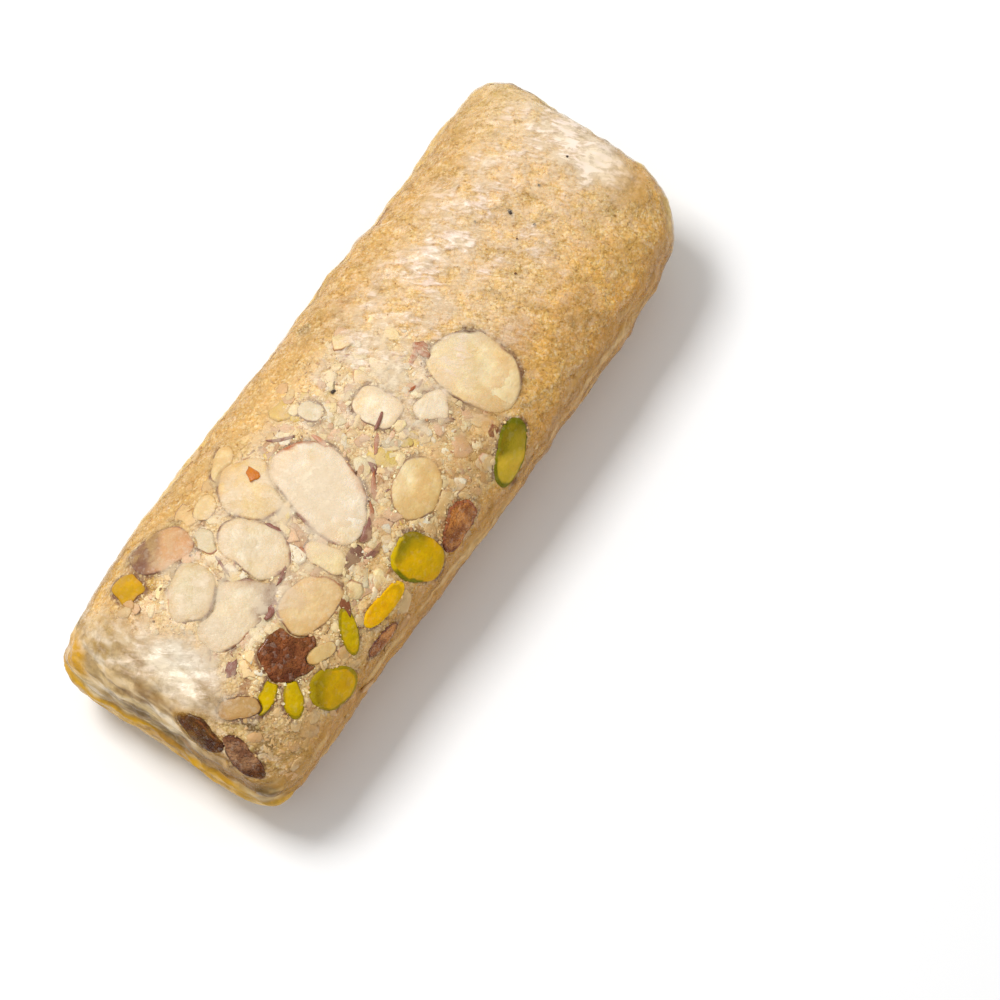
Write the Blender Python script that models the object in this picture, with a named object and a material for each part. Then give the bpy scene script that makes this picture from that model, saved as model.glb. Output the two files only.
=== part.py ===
"""Paper sweet: a roll of translucent rice paper, folded round crushed nuts and sugar.

The wrapper is one closed solid: a rounded pillow with a flat base, folded ends and soft
diagonal creases. The nut slices that show through it are rigid slabs, each one seated in
its own pocket with clearance all round. Crushed nut is fused to the wrapper as crumbs.

Frame: X runs along the roll, Y across it, Z up. The origin is at the middle of the base.
A place on the roll is given as (x, s): x along it, and s the arc round it from the crown,
positive towards +Y. Lengths here are millimetres, and MM turns them into metres.
"""

import math

import bmesh
import bpy
import numpy as np
from mathutils import Matrix, Vector

MM = 0.001

# ---- driving dimensions of the roll ----
ROLL_LENGTH = 94.6
ROLL_WIDTH = 35.4
ROLL_HEIGHT = 22.0
SECTION_POWER = 2.5  # 2 would be an ellipse, more is squarer
MIDDLE_HEIGHT = 10.6  # height of the widest line above the base
UNDER_DEPTH = 12.1  # depth of the uncut lower half, so that its cut makes the flat base
FAR_CROWN_POWER = 7.0  # how late the crown falls towards the far end (+X)
NEAR_CROWN_POWER = 4.5

# how square the plan is at its four corners, named by the end (x) and the side (y)
CORNER_POWER = {
    ("far", "left"): 16.0,
    ("far", "right"): 5.5,
    ("near", "left"): 11.0,
    ("near", "right"): 12.0,
}
FAR_TAPER = 0.5  # how much narrower the left side gets towards the far end
LEFT_WAIST = (0.8, 20.0, 15.0)  # a shallow waist in each side: depth, place along X, spread
RIGHT_WAIST = (0.7, -26.0, 12.0)

# ---- relief of the wrapper ----
SLOW_WAVE = 0.22  # unevenness of the packed filling
SLOW_WAVES = 6
SLOW_ALONG = (0.08, 0.32)  # radians a millimetre of a slow wave, along the roll and round it
SLOW_ROUND = (0.1, 0.4)
CREASE_DEPTH = 0.16  # soft creases that run down the right flank
CREASE_PITCH = 6.5
CREASE_LEAN = 55.0  # degrees between a crease's run and the roll's axis
CREASE_WANDER = ((1.3, 0.21, -0.17, 0.0), (0.8, 0.0, 0.43, 1.0))  # reach, along, round, phase
CREASE_LEAST = 0.35  # what is left of the creases among the nuts
CREASE_FADE = (-2.0, 14.0)  # they deepen over this stretch of x
LIP_REACH = 1.2  # how far the under-layer of the wrapper stands out round the near end
LIP_HEIGHT = 3.6
LIP_THICKNESS = 2.4
LIP_START = -8.0  # the lip grows from here to the near end
LIP_SIDE = (4.0, 14.0)  # y over which it comes in on the left side
LIP_ROUND_END = (-44.0, -40.0)  # x over which it fades from the near end
FOLD_STEP = 0.45  # the end flaps' step
FLAP_SLOPE = 0.8
FLAP_EDGE = (1.0, 3.0)
END_FACE = (3.0, 0.5)  # an end's face begins, and is whole, this far short of the tip
RIPPLE_SEED = 7

# ---- mesh density ----
STEPS_AROUND = 54
STEPS_ALONG = 56
NUT_STEPS = (16, 6)  # around a nut's outline, and from its top to its bottom
CHIP_STEPS = (12, 6)
TABLE_STEPS = 4001  # of the tables that turn arc into angle and outline into x

# ---- nuts ----
CLEARANCE = 0.35  # between a nut and its pocket
POCKET_MOUTH = 3.0  # how far a pocket's cutter reaches out through the wrapper
MERGE_DISTANCE = 0.000002  # metres: joins what a cut leaves doubled, and nothing else
SLAB_POWER = 0.5  # 1 would be an ellipsoid, less is a flatter slab with a rounder rim
SQUARENESS = (2.0, 2.6)  # of an outline: 2 is an ellipse
EGG = 0.1  # how much wider one end of an outline may be
WOBBLES = ((0.035, 3.0), (0.02, 5.0))  # share of the radius, and waves round the outline
SEAT_REACH = 0.1  # the roll's slope under a nut is taken over twice this

# ---- crumbs of crushed nut, fused to the wrapper ----
CRUMB_COUNT = 38
CRUMB_ALONG = (-43.0, 13.0)
CRUMB_ROUND = (-20.0, 17.0)
CRUMB_SIZE = (1.2, 2.5)
CRUMB_WIDTH = (0.6, 0.85)  # shares of the length
CRUMB_HEIGHT = (0.45, 0.6)
CRUMB_LIFT = 0.2  # share of a crumb's height between its middle and the roll
CRUMB_SEED = 23
CRUMB_CLEARANCE = 0.8

IVORY = (0.84, 0.74, 0.55)
CREAM = (0.80, 0.66, 0.42)
OLIVE = (0.40, 0.34, 0.05)
YELLOW = (0.64, 0.42, 0.04)
GREEN = (0.30, 0.28, 0.08)
PLUM = (0.18, 0.09, 0.07)
LILAC = (0.42, 0.28, 0.22)
BROWN = (0.27, 0.13, 0.06)
WRAPPER = (0.66, 0.46, 0.25)

# name: (x, s, length, width, turn, thickness, proud, colour). The turn is measured in degrees from
# the roll's axis towards +s, and proud is how far the middle of the top face stands out of the roll.
# Where two outlines meet, the nut that comes first here lies on top.
NUTS = {
    "almond_slice_01": (-13.4, -0.4, 15.0, 9.4, 70, 1.4, 0.15, IVORY),
    "almond_slice_02": (10.5, -7.1, 13.0, 9.3, 95, 1.4, 0.20, IVORY),
    "almond_slice_03": (-24.3, 2.4, 10.0, 6.8, 94, 1.2, 0.30, IVORY),
    "almond_slice_04": (-33.3, 5.4, 7.7, 5.9, 30, 1.2, 0.40, IVORY),
    "almond_slice_05": (-32.5, -0.5, 10.4, 7.0, -8, 1.2, 0.15, IVORY),
    "almond_slice_06": (-26.4, -7.8, 8.4, 6.2, -15, 1.4, 0.35, CREAM),
    "almond_slice_07": (-18.2, 7.0, 8.6, 7.8, 80, 1.2, 0.10, CREAM),
    "almond_slice_08": (-6.5, -9.9, 8.8, 6.0, 8, 1.3, 0.20, CREAM),
    "almond_slice_09": (-30.4, 12.2, 8.0, 5.6, -30, 1.4, 0.30, LILAC),
    "almond_chunk_01": (-0.7, 0.3, 6.2, 5.0, 100, 1.5, 0.35, IVORY),
    "almond_chunk_02": (3.4, -5.4, 4.6, 3.6, -20, 1.4, 0.35, IVORY),
    "almond_chunk_03": (-23.2, 10.6, 3.6, 2.8, 8, 1.2, 0.25, IVORY),
    "almond_chunk_04": (-17.0, 12.6, 5.4, 2.6, 24, 1.1, 0.20, IVORY),
    "almond_chunk_05": (-26.8, 7.9, 3.9, 2.6, 75, 1.1, 0.25, IVORY),
    "almond_chunk_06": (-41.8, -7.8, 5.0, 2.8, -46, 1.2, 0.30, CREAM),
    "almond_chunk_07": (-20.3, -6.0, 5.4, 3.2, 100, 1.1, 0.20, CREAM),
    "almond_chunk_08": (-30.2, -12.7, 4.0, 2.0, -25, 1.1, 0.25, CREAM),
    "almond_chunk_09": (-5.6, 6.8, 3.4, 2.6, 95, 1.1, 0.25, IVORY),
    "pistachio_01": (-33.0, -9.2, 7.4, 6.4, -30, 1.8, 0.40, PLUM),
    "pistachio_02": (-32.4, -17.0, 7.6, 5.4, -42, 1.6, 0.30, OLIVE),
    "pistachio_03": (-13.1, -15.6, 8.0, 6.0, 115, 1.6, 0.30, OLIVE),
    "pistachio_04": (5.3, -17.4, 9.0, 5.0, 33, 1.6, 0.30, GREEN),
    "pistachio_05": (-20.5, -15.8, 7.4, 2.8, -4, 1.4, 0.30, YELLOW),
    "pistachio_06": (-26.0, -14.1, 5.4, 2.5, 54, 1.3, 0.30, YELLOW),
    "pistachio_07": (-36.9, -12.9, 5.0, 2.6, 44, 1.3, 0.30, YELLOW),
    "pistachio_08": (-38.6, -10.0, 4.6, 2.0, 12, 1.2, 0.25, YELLOW),
    "pistachio_09": (-36.7, 13.2, 4.4, 3.6, 80, 1.3, 0.20, OLIVE),
    "skin_piece_01": (-6.3, -17.4, 7.2, 4.2, 20, 1.3, 0.25, BROWN),
    "skin_piece_02": (-23.5, -19.2, 6.0, 2.2, -6, 1.2, 0.25, PLUM),
    "skin_piece_03": (-46.5, -5.8, 6.6, 3.6, 90, 1.4, 0.25, BROWN),
    "skin_piece_04": (-46.0, -12.4, 6.2, 3.4, 84, 1.4, 0.25, LILAC),
}

# Where an outline is drawn out into a corner or flattened: (bearing, share of the radius, spread).
# The bearing and the spread are in degrees, and a bearing is measured as a turn is.
PULLS = {
    "almond_slice_01": [(159, -0.08, 30), (-118, 0.05, 25), (60, -0.05, 30)],
    "almond_slice_02": [(-90, -0.06, 30), (170, -0.06, 25)],
    "almond_slice_03": [(-128, 0.10, 20), (157, -0.13, 28), (94, 0.05, 20), (-30, 0.08, 25), (34, -0.06, 25)],
    "almond_slice_04": [(80, -0.05, 30)],
    "almond_slice_05": [(-25, 0.17, 22), (70, 0.10, 25), (20, -0.05, 20), (-100, -0.06, 30), (170, 0.06, 25)],
    "almond_slice_06": [(-30, 0.06, 25), (150, 0.05, 20)],
    "almond_slice_07": [(82, 0.12, 22), (-78, 0.12, 22), (192, 0.08, 24), (-10, -0.04, 25), (140, -0.05, 25)],
    "almond_slice_08": [(60, 0.10, 20), (-20, -0.08, 20), (-100, 0.08, 24), (180, -0.08, 20)],
    "almond_slice_09": [(120, 0.10, 25), (-60, 0.10, 25)],
    "almond_chunk_01": [(60, 0.12, 18), (0, -0.08, 20), (-60, 0.14, 16), (-130, 0.10, 20), (150, -0.08, 20)],
    "almond_chunk_02": [(-96, 0.42, 16), (4, 0.30, 18), (124, 0.14, 22), (-150, -0.14, 22), (-45, -0.10, 18)],
    "almond_chunk_03": [(30, 0.08, 20), (-80, 0.08, 20)],
    "almond_chunk_04": [(60, 0.10, 20), (-110, 0.10, 20)],
    "almond_chunk_05": [(0, 0.10, 20), (120, -0.08, 25)],
    "almond_chunk_06": [(-60, 0.14, 18), (60, -0.10, 20), (150, 0.12, 18)],
    "almond_chunk_07": [(80, 0.10, 18), (-20, 0.10, 18), (-110, 0.10, 20)],
    "almond_chunk_08": [(0, 0.12, 20), (150, 0.12, 20)],
    "pistachio_01": [(60, 0.05, 15), (-20, 0.06, 12), (-70, 0.08, 14), (120, 0.06, 14), (180, 0.07, 14)],
    "pistachio_03": [(100, -0.06, 25), (20, 0.06, 25)],
    "pistachio_06": [(54, 0.16, 16), (-126, 0.10, 16)],
    "pistachio_07": [(-136, 0.14, 16), (44, 0.05, 20)],
    "pistachio_08": [(12, 0.12, 18), (192, 0.14, 16)],
    "skin_piece_01": [(-20, 0.12, 12), (40, -0.10, 12), (80, 0.10, 12), (150, 0.12, 14), (-100, -0.10, 14)],
    "skin_piece_03": [(90, 0.10, 16), (0, 0.12, 18), (-60, -0.10, 20)],
    "skin_piece_04": [(90, 0.12, 16), (-90, 0.14, 14)],
}
CHIP_LENGTH = 5.0  # a nut no longer than this gets the coarser mesh
WALL_BETWEEN_POCKETS = 0.25  # a crumb also keeps this off a pocket's rim


def power(value, exponent):
    """The value's size raised to the exponent, with the value's sign kept."""
    return np.sign(value) * np.abs(value) ** exponent


def smooth_ramp(value, start, end):
    """0 before start, 1 after end, and a cubic ease between them."""
    part = np.clip((value - start) / (end - start), 0.0, 1.0)
    return part * part * (3.0 - 2.0 * part)


def unit_section(angle):
    """A superellipse of unit half width and height, by angle from the crown."""
    return power(np.sin(angle), 2.0 / SECTION_POWER), power(np.cos(angle), 2.0 / SECTION_POWER)


def section_at_middle(angle):
    """The middle cross-section in millimetres, before its base is cut flat."""
    across, up = unit_section(angle)
    rise = np.where(up > 0.0, ROLL_HEIGHT - MIDDLE_HEIGHT, UNDER_DEPTH)
    return across * ROLL_WIDTH / 2.0, MIDDLE_HEIGHT + up * rise


def arc_table():
    """Angles with the arc length of the middle section at each, measured from the crown."""
    angle = np.linspace(-math.pi, math.pi, TABLE_STEPS)
    across, up = section_at_middle(angle)
    arc = np.concatenate([[0.0], np.cumsum(np.hypot(np.diff(across), np.diff(up)))])
    return angle, arc - np.interp(0.0, angle, arc)


ANGLE_TABLE, ARC_TABLE = arc_table()


def corner_power(x, side):
    """The plan's corner exponent at x, for the left (+Y) or the right (-Y) side."""
    return np.where(x > 0.0, CORNER_POWER["far", side], CORNER_POWER["near", side])


def rounded_end(x, exponent):
    """1 along the middle of the roll, falling to 0 at its two ends, as a superellipse."""
    reach = np.clip(np.abs(x) / (ROLL_LENGTH / 2.0), 0.0, 1.0)
    return (1.0 - reach**exponent) ** (1.0 / exponent)


def waist(x, depth, place, spread):
    """A bell-shaped hollow in one side."""
    return depth * np.exp(-(((x - place) / spread) ** 2))


def half_width(x, is_left):
    """Half the roll's width at x, on its left or its right side."""
    taper = FAR_TAPER * smooth_ramp(x, 0.0, ROLL_LENGTH / 2.0)
    left = ROLL_WIDTH / 2.0 - taper - waist(x, *LEFT_WAIST)
    left *= rounded_end(x, corner_power(x, "left"))
    right = (ROLL_WIDTH / 2.0 - waist(x, *RIGHT_WAIST)) * rounded_end(x, corner_power(x, "right"))
    return np.where(is_left, left, right)


def bare_roll(x, angle):
    """A point of the roll without its relief, as an array of x, y, z."""
    across, up = unit_section(angle)
    rise = np.where(up > 0.0, ROLL_HEIGHT - MIDDLE_HEIGHT, UNDER_DEPTH)
    y = across * half_width(x, across > 0.0)
    crown_power = np.where(x > 0.0, FAR_CROWN_POWER, NEAR_CROWN_POWER)
    z = MIDDLE_HEIGHT + up * rise * rounded_end(x, crown_power)
    return np.stack(np.broadcast_arrays(x, y, z), axis=-1)


def relief(x, arc, y, z):
    """How far the wrapper stands out of the bare roll.

    Slow waves for the uneven filling, creases that lean across the roll and fade out over
    the nuts, a lip of under-layer round the near end, and the stepped flaps of both ends.
    """
    draw = np.random.default_rng(RIPPLE_SEED)
    slow = np.zeros_like(x)
    for _ in range(SLOW_WAVES):
        along, round_it, phase = draw.uniform(*SLOW_ALONG), draw.uniform(*SLOW_ROUND), draw.uniform(0, 6.3)
        slow += np.sin(along * x + draw.choice([-1.0, 1.0]) * round_it * arc + phase) / math.sqrt(SLOW_WAVES)
    lean = math.radians(CREASE_LEAN)
    across_creases = x * math.sin(lean) + arc * math.cos(lean)
    for reach, along, round_it, phase in CREASE_WANDER:
        across_creases = across_creases + reach * np.sin(along * x + round_it * arc + phase)
    crease = np.sin(2.0 * math.pi * across_creases / CREASE_PITCH)
    crease *= CREASE_LEAST + (1.0 - CREASE_LEAST) * smooth_ramp(x, *CREASE_FADE)
    near = 1.0 - smooth_ramp(x, -ROLL_LENGTH / 2.0, LIP_START)
    lip = LIP_REACH * near * np.exp(-(((z - LIP_HEIGHT) / LIP_THICKNESS) ** 2))
    lip *= np.maximum(smooth_ramp(y, *LIP_SIDE), 1.0 - smooth_ramp(x, *LIP_ROUND_END))
    face_start, face_whole = ROLL_LENGTH / 2.0 - np.array(END_FACE)
    on_end = smooth_ramp(np.abs(x), face_start, face_whole)
    flap = smooth_ramp(np.abs(y) - FLAP_SLOPE * np.abs(z - MIDDLE_HEIGHT), *FLAP_EDGE) - 0.5
    flank = SLOW_WAVE * slow + CREASE_DEPTH * crease + lip
    return flank * (1.0 - on_end) + FOLD_STEP * flap * on_end


def even_profile(steps):
    """x at each ring from one end's middle to the other's, evenly spaced along the outline."""
    x = ROLL_LENGTH / 2.0 * np.sin(np.linspace(-math.pi / 2.0, math.pi / 2.0, TABLE_STEPS))
    width = half_width(x, True)
    length = np.concatenate([[0.0], np.cumsum(np.hypot(np.diff(x), np.diff(width)))])
    return np.interp(np.linspace(0.0, length[-1], steps + 1), length, x)


def coordinates(mesh):
    """The mesh's points as an array with a row for each."""
    flat = np.empty(len(mesh.vertices) * 3)
    mesh.vertices.foreach_get("co", flat)
    return flat.reshape(-1, 3)


def set_coordinates(mesh, points):
    """Moves the mesh's points to the rows of an array."""
    mesh.vertices.foreach_set("co", points.ravel())
    mesh.update()


def ball(name, around, rings):
    """A unit ball with its poles on the X axis, and the angles of each point.

    The angles are the latitude along X, and the longitude round X from +Z towards +Y.
    """
    shape = bmesh.new()
    bmesh.ops.create_uvsphere(shape, u_segments=around, v_segments=rings, radius=1.0)
    bmesh.ops.rotate(shape, verts=shape.verts, matrix=Matrix.Rotation(math.radians(90.0), 3, "Y"))
    mesh = bpy.data.meshes.new(name)
    shape.to_mesh(mesh)
    shape.free()
    unit = coordinates(mesh)
    latitude = np.arcsin(np.clip(unit[:, 0], -1.0, 1.0))
    longitude = np.arctan2(unit[:, 1], unit[:, 2])
    return mesh, unit, latitude, longitude


def material(name, colour, roughness):
    """A plain finish: colour in linear light, and how dull the surface is."""
    finish = bpy.data.materials.new(name)
    finish.use_nodes = True
    shader = finish.node_tree.nodes["Principled BSDF"]
    shader.inputs["Base Color"].default_value = (*colour, 1.0)
    shader.inputs["Roughness"].default_value = roughness
    shader.inputs["Metallic"].default_value = 0.0
    return finish


def add_object(name, mesh, collection, finish=None):
    """Puts a mesh in a collection as a named object."""
    made = bpy.data.objects.new(name, mesh)
    collection.objects.link(made)
    if finish:
        mesh.materials.append(finish)
    return made


def make_roll(collection):
    """The wrapper: a ball drawn out into the roll, raised by its relief and cut flat below."""
    mesh, _, latitude, longitude = ball("rice_paper_roll", STEPS_AROUND, STEPS_ALONG)
    rings = even_profile(STEPS_ALONG)
    x = np.interp(latitude / math.pi + 0.5, np.linspace(0.0, 1.0, STEPS_ALONG + 1), rings)
    arc = np.interp(longitude, [-math.pi, math.pi], [ARC_TABLE[0], ARC_TABLE[-1]])
    place = bare_roll(x, np.interp(arc, ARC_TABLE, ANGLE_TABLE))
    set_coordinates(mesh, place)
    outward = np.array([list(vertex.normal) for vertex in mesh.vertices])
    place += outward * relief(x, arc, place[:, 1], place[:, 2])[:, None]
    place[:, 2] = np.maximum(place[:, 2], 0.0)
    set_coordinates(mesh, place * MM)
    join_flat_base(mesh)
    mesh.shade_smooth()
    return add_object("rice_paper_roll", mesh, collection, material("rice_paper", WRAPPER, 0.45))


def join_flat_base(mesh):
    """Makes one face of all those that lie in the plane of the base."""
    shape = bmesh.new()
    shape.from_mesh(mesh)
    base = [face for face in shape.faces if all(corner.co.z == 0.0 for corner in face.verts)]
    bmesh.ops.dissolve_faces(shape, faces=base, use_verts=True)
    shape.to_mesh(mesh)
    shape.free()


def seat(x, arc, proud, thickness, turn):
    """The matrix that lays a slab on the roll at (x, s), turned and sunk to its height."""

    def point(along, round_it):
        angle = np.interp(round_it, ARC_TABLE, ANGLE_TABLE)
        return Vector(bare_roll(np.array(along, dtype=float), angle))

    along = (point(x + SEAT_REACH, arc) - point(x - SEAT_REACH, arc)).normalized()
    round_it = point(x, arc + SEAT_REACH) - point(x, arc - SEAT_REACH)
    outward = along.cross(round_it).normalized()
    across = outward.cross(along)
    turned = Matrix((along, across, outward)).transposed() @ Matrix.Rotation(math.radians(turn), 3, "Z")
    middle = point(x, arc) + outward * (proud - thickness / 2.0)
    return Matrix.Translation(middle * MM) @ turned.to_4x4()


def plan_radius(name, bearing):
    """A nut's outline by bearing from its length: an egg-shaped superellipse with a slight wobble,
    times its pulls, each of which adds its share as a bell round its own bearing."""
    _, _, length, width, turn, _, _, _ = NUTS[name]
    draw = np.random.default_rng(list(NUTS).index(name) + 1)
    squareness, egg, phases = draw.uniform(*SQUARENESS), draw.uniform(-EGG, EGG), draw.uniform(0, 6.3, 2)
    along = np.abs(np.cos(bearing)) / (length / 2.0)
    across = np.abs(np.sin(bearing)) / (width / 2.0 * (1.0 + egg * np.cos(bearing)))
    radius = (along**squareness + across**squareness) ** (-1.0 / squareness)
    wobble = sum(share * np.sin(waves * bearing + phase) for (share, waves), phase in zip(WOBBLES, phases))
    radius *= 1.0 + wobble
    for at, share, spread in PULLS.get(name, ()):
        gap = (np.degrees(bearing) + turn - at + 180.0) % 360.0 - 180.0
        radius = radius * (1.0 + share * np.exp(-((gap / spread) ** 2)))
    return radius


def slab(name, steps):
    """A nut slice: a ball flattened into a slab with a rounded rim and a wobbly outline."""
    thickness = NUTS[name][5]
    mesh, unit, _, _ = ball(name, *steps)
    height = np.clip(unit[:, 0], -1.0, 1.0)
    bearing = np.arctan2(-unit[:, 1], unit[:, 2])
    radius = plan_radius(name, bearing) * np.sqrt(1.0 - height**2) ** SLAB_POWER
    rise = power(height, SLAB_POWER) * thickness / 2.0
    points = np.stack([radius * np.cos(bearing), radius * np.sin(bearing), rise], axis=-1)
    set_coordinates(mesh, points * MM)
    return mesh


def pocket(name, steps):
    """A slab's cutter: a prism on its outline, wider and deeper by the clearance, and open above."""
    thickness = NUTS[name][5]
    shape = bmesh.new()
    bmesh.ops.create_cone(shape, cap_ends=True, segments=steps[0], radius1=1.0, radius2=1.0, depth=2.0)
    mesh = bpy.data.meshes.new(name)
    shape.to_mesh(mesh)
    shape.free()
    unit = coordinates(mesh)
    bearing = np.arctan2(unit[:, 1], unit[:, 0])
    radius = plan_radius(name, bearing) + CLEARANCE
    rise = np.where(unit[:, 2] > 0.0, POCKET_MOUTH, -thickness / 2.0 - CLEARANCE)
    points = np.stack([radius * np.cos(bearing), radius * np.sin(bearing), rise], axis=-1)
    set_coordinates(mesh, points * MM)
    return mesh


def add_nut_shape(name, shape, collection, finish=None):
    """A nut, or its pocket's cutter, seated on the roll at its place in the table."""
    x, arc, length, _, turn, thickness, proud, _ = NUTS[name]
    mesh = shape(name, CHIP_STEPS if length <= CHIP_LENGTH else NUT_STEPS)
    mesh.transform(seat(x, arc, proud, thickness, turn))
    mesh.shade_smooth()
    return add_object(name, mesh, collection, finish)


def crumb_places():
    """Seeded places for the crumbs, among the nuts and clear of every one of them."""
    draw = np.random.default_rng(CRUMB_SEED)
    placed = []
    while len(placed) < CRUMB_COUNT:
        x, arc = draw.uniform(*CRUMB_ALONG), draw.uniform(*CRUMB_ROUND)
        size, turn = draw.uniform(*CRUMB_SIZE), draw.uniform(0.0, 180.0)
        near_nut = any(
            math.hypot(x - nut[0], arc - nut[1]) < max(nut[2], nut[3]) / 2.0 + size / 2.0
            + CLEARANCE + WALL_BETWEEN_POCKETS
            for nut in NUTS.values()
        )
        near_crumb = any(
            math.hypot(x - other[0], arc - other[1]) < (size + other[2]) / 2.0 + CRUMB_CLEARANCE
            for other in placed
        )
        if not near_nut and not near_crumb:
            placed.append((x, arc, size, turn))
    return placed


def make_crumbs(collection):
    """Small angular bits of crushed nut, half sunk in the wrapper."""
    draw = np.random.default_rng(CRUMB_SEED + 1)
    for number, (x, arc, size, turn) in enumerate(crumb_places(), start=1):
        shape = bmesh.new()
        bmesh.ops.create_icosphere(shape, subdivisions=1, radius=0.5)
        spread = (size, size * draw.uniform(*CRUMB_WIDTH), size * draw.uniform(*CRUMB_HEIGHT))
        bmesh.ops.scale(shape, verts=shape.verts, vec=[part * MM for part in spread])
        name = f"crumb_{number:02d}"
        mesh = bpy.data.meshes.new(name)
        shape.to_mesh(mesh)
        shape.free()
        mesh.transform(seat(x, arc, CRUMB_LIFT * spread[2], 0.0, turn))
        add_object(name, mesh, collection)


def apply_boolean(target, operation, collection):
    """Joins or cuts the target by every object of a collection, and makes the result its mesh."""
    change = target.modifiers.new(operation.lower(), "BOOLEAN")
    change.operation = operation
    change.operand_type = "COLLECTION"
    change.collection = collection
    change.solver = "MANIFOLD"
    bpy.context.view_layer.update()
    seen = target.evaluated_get(bpy.context.evaluated_depsgraph_get())
    result = bpy.data.meshes.new_from_object(seen)
    target.modifiers.clear()
    target.data = result


def empty_collection(collection):
    """Removes every object of a collection, and the collection."""
    for made in list(collection.objects):
        bpy.data.objects.remove(made)
    bpy.data.collections.remove(collection)


def drop_scraps(target):
    """Keeps only the largest loose body of the target's mesh, merged at its doubles."""
    shape = bmesh.new()
    shape.from_mesh(target.data)
    bmesh.ops.remove_doubles(shape, verts=shape.verts, dist=MERGE_DISTANCE)
    unseen = set(shape.verts)
    bodies = []
    while unseen:
        body, edge_of_body = set(), [unseen.pop()]
        while edge_of_body:
            vertex = edge_of_body.pop()
            body.add(vertex)
            for edge in vertex.link_edges:
                other = edge.other_vert(vertex)
                if other in unseen:
                    unseen.discard(other)
                    edge_of_body.append(other)
        bodies.append(body)
    largest = max(bodies, key=len)
    scraps = [vertex for body in bodies if body is not largest for vertex in body]
    bmesh.ops.delete(shape, geom=scraps, context="VERTS")
    shape.to_mesh(target.data)
    shape.free()


def new_collection(name):
    """A collection linked to the scene."""
    made = bpy.data.collections.new(name)
    bpy.context.scene.collection.children.link(made)
    return made


def make_nuts(collection):
    """The nuts. Each is cut back by the grown copies of those that lie on top of it."""
    finishes = {}
    names = list(NUTS)
    for place, name in enumerate(names):
        colour = NUTS[name][-1]
        if colour not in finishes:
            finishes[colour] = material(f"nut_{len(finishes) + 1}", colour, 0.5)
        nut = add_nut_shape(name, slab, collection, finishes[colour])
        over = [other for other in names[:place] if outlines_meet(name, other)]
        if over:
            cutters = new_collection("nuts_on_top")
            for other in over:
                add_nut_shape(other, pocket, cutters)
            apply_boolean(nut, "DIFFERENCE", cutters)
            empty_collection(cutters)
            drop_scraps(nut)


def outlines_meet(one, other):
    """True where two nuts lie near enough to each other to touch."""
    first, second = NUTS[one], NUTS[other]
    distance = math.hypot(first[0] - second[0], first[1] - second[1])
    return distance < (max(first[2], first[3]) + max(second[2], second[3])) / 2.0 + CLEARANCE


def clear_scene():
    """Starts from an empty scene."""
    for made in list(bpy.data.objects):
        bpy.data.objects.remove(made)


def build():
    """Makes the roll, fuses the crumbs, cuts the pockets, and seats the nuts in them."""
    clear_scene()
    parts = new_collection("paper_sweet")
    roll = make_roll(parts)
    crumbs = new_collection("crumbs")
    make_crumbs(crumbs)
    apply_boolean(roll, "UNION", crumbs)
    empty_collection(crumbs)
    pockets = new_collection("pockets")
    for name in NUTS:
        add_nut_shape(name, pocket, pockets)
    apply_boolean(roll, "DIFFERENCE", pockets)
    empty_collection(pockets)
    drop_scraps(roll)
    make_nuts(parts)


build()
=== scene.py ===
"""Looks of the paper sweet: a roll of translucent rice paper, folded round crushed nuts and sugar.

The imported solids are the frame: the wrapper, and the nuts that show through it. Here the wrapper
becomes what it really is, a packed filling of sugar and crushed nut under a thin oiled sheet, and
each nut becomes a thin slice with a rounded rim, its own tones and its skins.

A place is given in roll coordinates. m runs along the roll's outline through its crown, from the
middle of the near end to the middle of the far end, and equals x over the roll's length. s is the
arc round the roll from the crown, positive towards +Y, and h is the height above the bare roll.
All three are millimetres, and MM turns them into metres.
"""

import math

import bmesh
import bpy
import numpy as np
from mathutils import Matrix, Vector


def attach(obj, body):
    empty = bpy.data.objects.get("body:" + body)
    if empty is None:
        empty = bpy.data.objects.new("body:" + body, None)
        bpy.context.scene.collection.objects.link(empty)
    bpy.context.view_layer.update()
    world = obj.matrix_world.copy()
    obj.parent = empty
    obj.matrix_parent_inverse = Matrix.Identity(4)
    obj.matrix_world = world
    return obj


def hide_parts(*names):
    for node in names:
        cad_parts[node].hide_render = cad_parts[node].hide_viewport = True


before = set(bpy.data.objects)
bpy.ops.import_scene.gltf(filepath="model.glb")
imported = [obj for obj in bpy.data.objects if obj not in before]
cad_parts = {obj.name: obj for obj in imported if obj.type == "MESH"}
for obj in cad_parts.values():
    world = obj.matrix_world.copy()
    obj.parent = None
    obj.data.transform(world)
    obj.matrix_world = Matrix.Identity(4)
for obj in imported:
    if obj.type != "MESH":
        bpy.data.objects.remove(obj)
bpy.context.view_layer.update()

MM = 0.001

# ---- the bare roll, as the part's source draws it ----
ROLL_LENGTH = 94.6
ROLL_WIDTH = 35.4
ROLL_HEIGHT = 22.0
SECTION_POWER = 2.5
MIDDLE_HEIGHT = 10.6
UNDER_DEPTH = 12.1
FAR_CROWN_POWER = 7.0
NEAR_CROWN_POWER = 4.5
CORNER_POWER = {"far left": 16.0, "far right": 5.5, "near left": 11.0, "near right": 12.0}
FAR_TAPER = 0.5
LEFT_WAIST = (0.8, 20.0, 15.0)
RIGHT_WAIST = (0.7, -26.0, 12.0)
SLOW_WAVE = 0.22
CREASE_DEPTH = 0.16
CREASE_PITCH = 6.5
CREASE_LEAN = 55.0
LIP_REACH = 1.2
LIP_HEIGHT = 3.6
LIP_THICKNESS = 2.4
LIP_START = -8.0
FOLD_STEP = 0.45
RIPPLE_SEED = 7
SLOW_WAVES = 6

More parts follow.
